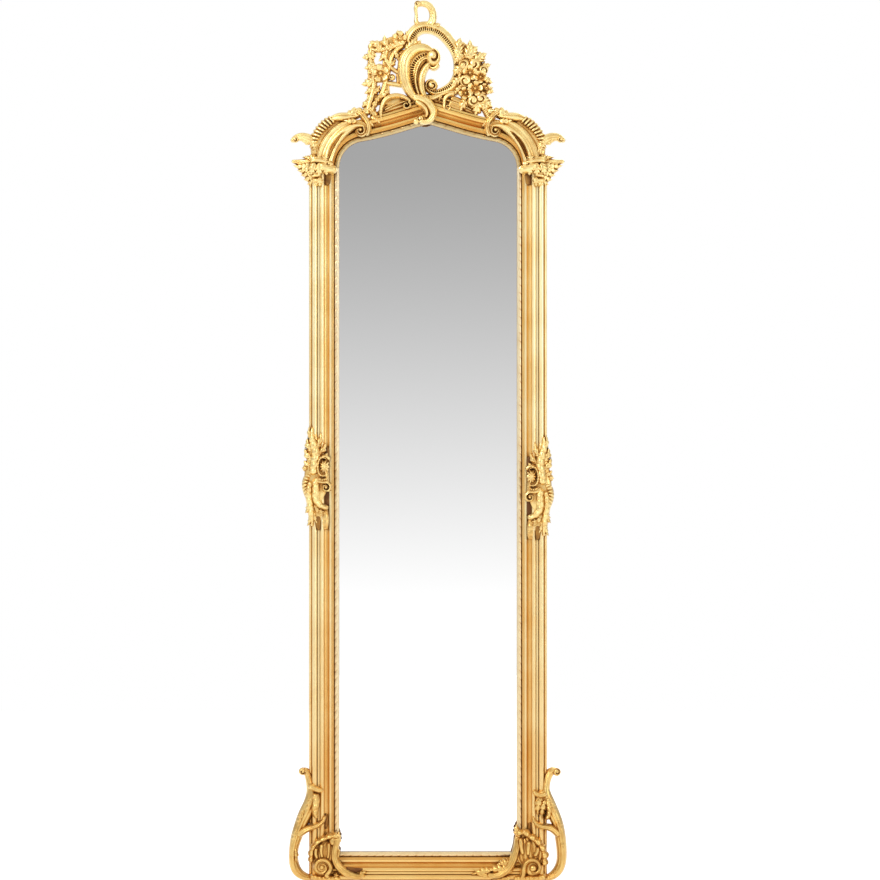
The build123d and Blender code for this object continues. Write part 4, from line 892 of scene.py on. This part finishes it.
# At each foot a half shell fans over the mitre from a volute, its flutes sunk between
# raised ribs with a scalloped rim; a strap runs from it along the foot rail.
corner = (-half_sight - sight_foot, 0.0)
corner_shell = [
    limb(corner, [(16, 16, 24, 14), (17, 27, 27, 15), (18, 36, 27, 15), (20, 43, 20, 13)], -13, full=0.45,
         cut=flutes(0.4, -0.78, -0.5, -0.22, 0.06, 0.34, 0.62, wide=0.08)),
    limb(corner, [(3, 20, 5, 18), (2.8, 28, 5.5, 20), (5, 36, 5.5, 21), (11, 42, 5.5, 21), (18, 45, 5.5, 21),
                  (25, 47, 5.5, 21), (31, 45, 4.5, 19)], -12, cut=ribs(0.14, 6.4),
         edge=lambda run: 1.3 * np.abs(np.sin(np.pi * run / 6.4))),
    boss(corner, (24.5, 41), 5.5, -13, 17, turns=0.8, start=1.2, tall=1.3),
    limb(corner, [(14, 25, 4, 17), (12.5, 32, 5, 20), (13.5, 40, 6, 19)], -14, full=0.8),
    limb(corner, [(19, 24, 4, 17), (20, 32, 4.5, 20), (20, 41, 5, 19)], -14, full=0.8),
    limb(corner, [(9, 24, 4, 17), (7, 30, 5, 19), (8, 36, 5, 18)], -14, full=0.8),
    boss(corner, (13.2, 16), 9.4, -13, 19),
    limb(corner, [(22, 7, 5, 18)] + volute((13.2, 16), 9.2, 300, 1.6, 6.4, 24, ease=0.26), -13,
         cut=flutes(0.08, 0.1), fine=0.4),
    boss(corner, (13.2, 16.2), 3.2, -14, 24),
    limb(corner, [(29, 47, 7, 18), (27.5, 40, 7.5, 20), (25.5, 31, 8, 21), (27, 21, 8.5, 22),
                  (32.5, 13.5, 8.5, 22), (41, 8.5, 8, 22), (50, 6.5, 7, 20), (55.5, 9.5, 4.5, 16)], -13,
         cut=flutes(0.1, 0.3, -0.3)),
    limb(corner, [(1, 7, 7, 19), (10, 5, 8, 20), (22, 4.6, 8, 19), (32, 4.4, 6, 17)], -11,
         cut=ribs(0.14, 4.2)),
    # These two thin plates are browned nearly to the ground: painted shadows between strap and rail and in
    # the moulding's hollow
    limb(corner, [(37, 15, 3, 30), (45, 13, 5, 30), (54, 14, 1.5, 30)], -16.5, cut=sunk(0.82), full=0.3),
    limb(corner, [(16.8, 69, 2, 17), (16.8, 62, 4.6, 17), (16.8, 53, 1.5, 17)], -1, cut=sunk(0.72), full=0.3),
    boss(corner, (27, 8), 3.4, -12, 17, lobes=5),
    leaf(corner, (25, 36), (29.5, 53), 7, -14, 15, 4, bend=-0.1),
    leaf(corner, (50, 8), (58, 11), 5, -15, 12, 2, bend=0.1),
]
corner_shell_right = [
    limb(corner, [(15, 16, 25, 14), (17, 28, 28, 15), (18, 38, 27, 15), (21, 47, 18, 13)], -13, full=0.45,
         cut=flutes(0.5, -0.78, -0.5, -0.15, 0.2, 0.55, wide=0.09)),
    limb(corner, [(4, 17, 5, 18), (3, 26, 6, 20), (5, 34, 6, 21), (10, 41, 6, 21), (17, 46, 6, 21),
                  (24, 50, 5.5, 21), (30, 48, 4.5, 19)], -12, cut=ribs(0.2, 7.2),
         edge=lambda run: 2.2 * np.abs(np.sin(np.pi * run / 7.2))),
    limb(corner, [(13, 26, 5, 18), (10, 32, 6, 20), (9, 37, 6, 19)], -13, full=0.8),
    limb(corner, [(19, 27, 5, 18), (19, 36, 6.5, 21), (18, 43, 6, 19)], -13, full=0.8),
    limb(corner, [(24, 28, 5, 18), (26, 37, 6.5, 21), (27, 46, 6, 19)], -13, full=0.8),
    boss(corner, (14, 15), 9, -13, 15),
    limb(corner, [(27, 3, 6, 19), (24, 9, 6.5, 22)]
         + volute((14, 15.5), 9.8, 350, 0.86, 6.4, 25, ease=0.42), -13, cut=flutes(0.08, 0.1), fine=0.4),
    boss(corner, (14, 15), 4.4, -13, 23),
    limb(corner, [(30, 47, 6, 17), (30, 39, 7, 19), (32, 29, 8, 20), (36, 19, 9, 20), (43, 11, 9, 19),
                  (52, 7.5, 7, 17), (60, 9, 4, 14)], -14, cut=flutes(0.14, 0.3, -0.3)),
    limb(corner, [(1, 7, 7, 19), (10, 5, 8, 20), (22, 4.6, 8, 19), (34, 4.4, 6, 17)], -11,
         cut=ribs(0.14, 4.2)),
    # A thin plate browned nearly to the ground: a painted shadow in the moulding's hollow above the shell
    limb(corner, [(16.5, 60, 3, 20), (16.5, 54, 5, 22), (16.5, 47, 5, 22)], -1, cut=sunk(0.75), full=0.3),
    leaf(corner, (27, 44), (30, 60), 7, -14, 15, 4, bend=-0.1),
    leaf(corner, (34, 12), (60, 12), 12, -15, 15, 5, bend=0.06),
    leaf(corner, (56, 12), (76, 8), 8, -15, 12, 4, bend=0.06),
    leaf(corner, (58, 7), (74, 14), 7, -15, 11, 3, bend=-0.06),
    leaf(corner, (36, 20), (50, 17), 9, -14, 14, 4, bend=0.08),
    leaf(corner, (36, 6), (56, 3.5), 7, -13, 14, 4, bend=-0.04),
]
casting("left_corner_shell", corner_shell, "corner_shell_left")
casting("right_corner_shell", turned_over(corner_shell_right), "corner_shell_right")

# An open bracket stands against the outside of each foot: one long limb bowed outward,
# wrapped in grooved leaves, hooked over at the top and tied back by a side branch.
bracket = (-half_sight - sight_foot, 0.0)
grooves = flutes(0.1, -0.38, 0.32)
bracket_left = [
    limb(bracket, [(-7.5, 111.3, 5, 12), (-3.5, 111, 7, 15), (0, 105, 8.5, 19), (2.5, 97, 11, 24),
                   (4, 89, 14, 28), (2, 79, 15, 30), (-3.5, 68, 14.5, 30), (-9, 55, 13, 30),
                   (-13.5, 42, 11, 29), (-15.6, 29, 9.4, 28), (-14.8, 18, 10, 28), (-10.5, 9.5, 9.5, 28),
                   (-2, 5, 7, 26), (4, 4.5, 5, 22)], 3, cut=grooves, full=0.9, belly=1),
    boss(bracket, (-6.5, 111), 3.8, -2, 14, turns=-1.1, start=1.0),
    limb(bracket, [(-12, 46, 7, 20), (-6, 51.5, 8, 24), (1, 55, 7, 26), (8, 57.5, 6.5, 25),
                   (13.5, 61.5, 5, 22), (16.5, 67, 3, 18)], -9, cut=flutes(0.1, 0.0)),
    limb(bracket, [(-1, 97, 6, 20), (5, 95, 7, 23), (11, 92.5, 6, 21), (14.5, 94, 3.5, 17)], -14,
         cut=flutes(0.1, 0.1)),
    limb(bracket, [(6, 91, 8, 22), (7, 82, 9, 22), (6, 73, 8, 21), (8, 64, 4, 19)], -12, cut=ribs(0.1, 6, 2)),
    leaf(bracket, (4, 86), (-3, 64), 8, -12, 19, 5, bend=-0.04),
    leaf(bracket, (-4, 74), (-11, 50), 7, -11, 19, 5, bend=-0.06),
    leaf(bracket, (-10, 56), (-15.5, 32), 6, -10, 19, 5, bend=-0.08),
    leaf(bracket, (-14, 36), (-14, 16), 5, -10, 18, 4, bend=0.06),
]
bracket_right = [
    limb(bracket, [(-10.5, 111, 4.5, 12), (-6, 111.3, 7.5, 15), (-1.5, 107, 9, 19), (1, 99, 9, 23),
                   (2, 91, 11, 27), (-0.5, 81, 13.5, 30), (-6, 69, 13, 30), (-11, 57, 11.5, 30),
                   (-13.6, 44, 11, 29), (-14.8, 31, 10.4, 28), (-14, 19, 10, 28), (-9.5, 10, 9.5, 28),
                   (-2, 5, 7, 26), (4, 4.5, 5, 22)], 3, cut=grooves, full=0.9, belly=1),
    boss(bracket, (-9.8, 110.3), 4, -2, 14, turns=1.1, start=1.0),
    limb(bracket, [(-13, 46, 7, 20), (-6, 53.5, 8, 24), (1, 56, 7, 26), (8, 57.5, 6.5, 24),
                   (12.5, 61.5, 4.5, 21), (14.5, 67, 2.5, 16)], -9, cut=flutes(0.1, 0.0)),
    limb(bracket, [(0, 90, 6, 20), (6, 88, 7, 23), (11, 89.5, 5.5, 20), (14.5, 92.5, 3, 16)], -14,
         cut=flutes(0.1, 0.1)),
    leaf(bracket, (5, 88), (9, 66), 9, -13, 18, 4, bend=0.08),
    leaf(bracket, (1, 84), (5, 62), 8, -14, 17, 4, bend=0.08),
    leaf(bracket, (2, 92), (11, 80), 7, -14, 18, 3, bend=0.1),
    limb(bracket, [(0, 86, 6, 22), (-1.5, 78, 8, 22), (-2, 70, 7, 22), (1, 63, 5, 20)], -9,
         cut=ribs(0.1, 5, 2)),
    leaf(bracket, (-1, 84), (-9, 62), 7, -11, 19, 5, bend=-0.06),
    leaf(bracket, (-9, 66), (-13.5, 42), 6, -10, 19, 5, bend=-0.08),
    leaf(bracket, (-13.5, 46), (-14.5, 22), 5.5, -10, 18, 5, bend=-0.04),
]
casting("left_bracket", bracket_left, "side_bracket_left")
casting("right_bracket", turned_over(bracket_right), "side_bracket_right")

# The mirror stands on a plain pale floor in an open white studio.
# The floor is matt, and shows white to the camera apart from the mirror's shadow.
floor_mesh = bpy.data.meshes.new("studio_floor")
floor_mesh.from_pydata([(-7, -7, 0), (7, -7, 0), (7, 5, 0), (-7, 5, 0)], [], [(0, 1, 2, 3)])
floor_paint = bpy.data.materials.new("matt_floor")
floor_paint.use_nodes = True
tree = floor_paint.node_tree
tree.nodes.clear()
rays = add(tree, "ShaderNodeLightPath").outputs
seen = add(tree, "ShaderNodeMath", {0: rays["Is Camera Ray"], 1: rays["Is Glossy Ray"]},
           operation="MAXIMUM").outputs[0]
seen = add(tree, "ShaderNodeMath", {0: seen, 1: rays["Is Transmission Ray"]}, operation="MAXIMUM").outputs[0]
paint = add(tree, "ShaderNodeBsdfDiffuse", {"Color": linear("#C9C8C6")})
glow = add(tree, "ShaderNodeEmission", {"Color": linear("#FFFFFF"), "Strength": 0.85})
dark = add(tree, "ShaderNodeEmission", {"Strength": 0.0})
lift = add(tree, "ShaderNodeMixShader", {"Fac": seen, 1: dark.outputs[0], 2: glow.outputs[0]})
surface = add(tree, "ShaderNodeAddShader", {0: paint.outputs[0], 1: lift.outputs[0]})
add(tree, "ShaderNodeOutputMaterial", {"Surface": surface.outputs[0]})
floor_mesh.materials.append(floor_paint)
floor = bpy.data.objects.new("studio_floor", floor_mesh)
bpy.context.collection.objects.link(floor)

# The room is white low down and greyer above eye level, which the plate shows as a
# slow change from white at its foot to grey in its arch. Two broad lamps stand in
# front, the stronger at the upper left, and a dim one lights the back.
world = bpy.data.worlds.new("open_studio")
bpy.context.scene.world = world
world.use_nodes = True
tree = world.node_tree
tree.nodes.clear()
aim = add(tree, "ShaderNodeTexCoord").outputs["Generated"]
climb = add(tree, "ShaderNodeSeparateXYZ", {"Vector": aim}).outputs["Z"]
# The sine of the climb goes from 4.6 degrees above level, all grey, to 2.5 degrees below it, all white
white_share = add(tree, "ShaderNodeMapRange", {"Value": climb, "From Min": 0.08,
                                               "From Max": -0.0433}).outputs["Result"]
white_share = add(tree, "ShaderNodeMath", {0: white_share, 1: 1.3}, operation="POWER").outputs[0]
room = add(tree, "ShaderNodeMix", {"Factor": white_share, 6: linear("#A6A6A6"), 7: linear("#FFFFFF")},
           data_type="RGBA").outputs[2]
rays = add(tree, "ShaderNodeLightPath").outputs
# Above the grey wall, which ends 8 degrees up, the ceiling is white again for the gold
ceiling = add(tree, "ShaderNodeMapRange", {"Value": climb, "From Min": 0.14,
                                           "From Max": 0.36}).outputs["Result"]
room = add(tree, "ShaderNodeMix", {"Factor": ceiling, 6: room, 7: linear("#F4F2EC")},
           data_type="RGBA").outputs[2]
shown = add(tree, "ShaderNodeBackground", {"Color": linear("#FFFFFF"), "Strength": 1.0})
mirrored = add(tree, "ShaderNodeBackground", {"Color": room, "Strength": 1.1})
lighting = add(tree, "ShaderNodeBackground", {"Color": linear("#FAFAFF"), "Strength": 0.66})
first = add(tree, "ShaderNodeMixShader", {"Fac": rays["Is Glossy Ray"], 1: lighting.outputs[0],
                                          2: mirrored.outputs[0]})
last = add(tree, "ShaderNodeMixShader", {"Fac": rays["Is Camera Ray"], 1: first.outputs[0],
                                         2: shown.outputs[0]})
add(tree, "ShaderNodeOutputWorld", {"Surface": last.outputs[0]})


def lamp(name, place, target, width, height, power):
    """A square soft lamp turned toward its target."""
    light = bpy.data.lights.new(name, "AREA")
    light.shape = "RECTANGLE"
    light.size, light.size_y, light.energy = width, height, power
    made = bpy.data.objects.new(name, light)
    made.location = place
    away = np.array(place) - np.array(target)
    made.rotation_euler = (np.arctan2(np.hypot(away[0], away[1]), away[2]), 0, np.arctan2(away[0], -away[1]))
    bpy.context.collection.objects.link(made)


lamp("upper_left_lamp", (-2.4, -2.6, 3.2), (0, 0, 1.2), 1.4, 1.4, 70)
lamp("right_lamp", (2.8, -2.4, 1.8), (0, 0, 1.0), 1.2, 2.4, 28)
lamp("back_lamp", (1.2, 3.2, 2.8), (0, 0, 1.0), 1.6, 1.6, 22)

# The camera looks straight at the mirror from 8 m off, with a lens so long that the
# upright lines stay parallel. What it sees at the mirror is 1.98 m across.
distance = 8.0
seen_across = 1.98
eye = bpy.data.cameras.new("straight_view")
eye.sensor_width = 36.0
eye.lens = eye.sensor_width * distance / seen_across
camera = bpy.data.objects.new("straight_view", eye)
camera.location = (0.027, -distance, 0.9945)
camera.rotation_euler = (np.pi / 2, 0.0, 0.0)
bpy.context.collection.objects.link(camera)
bpy.context.scene.camera = camera
bpy.context.scene.view_settings.view_transform = "Standard"
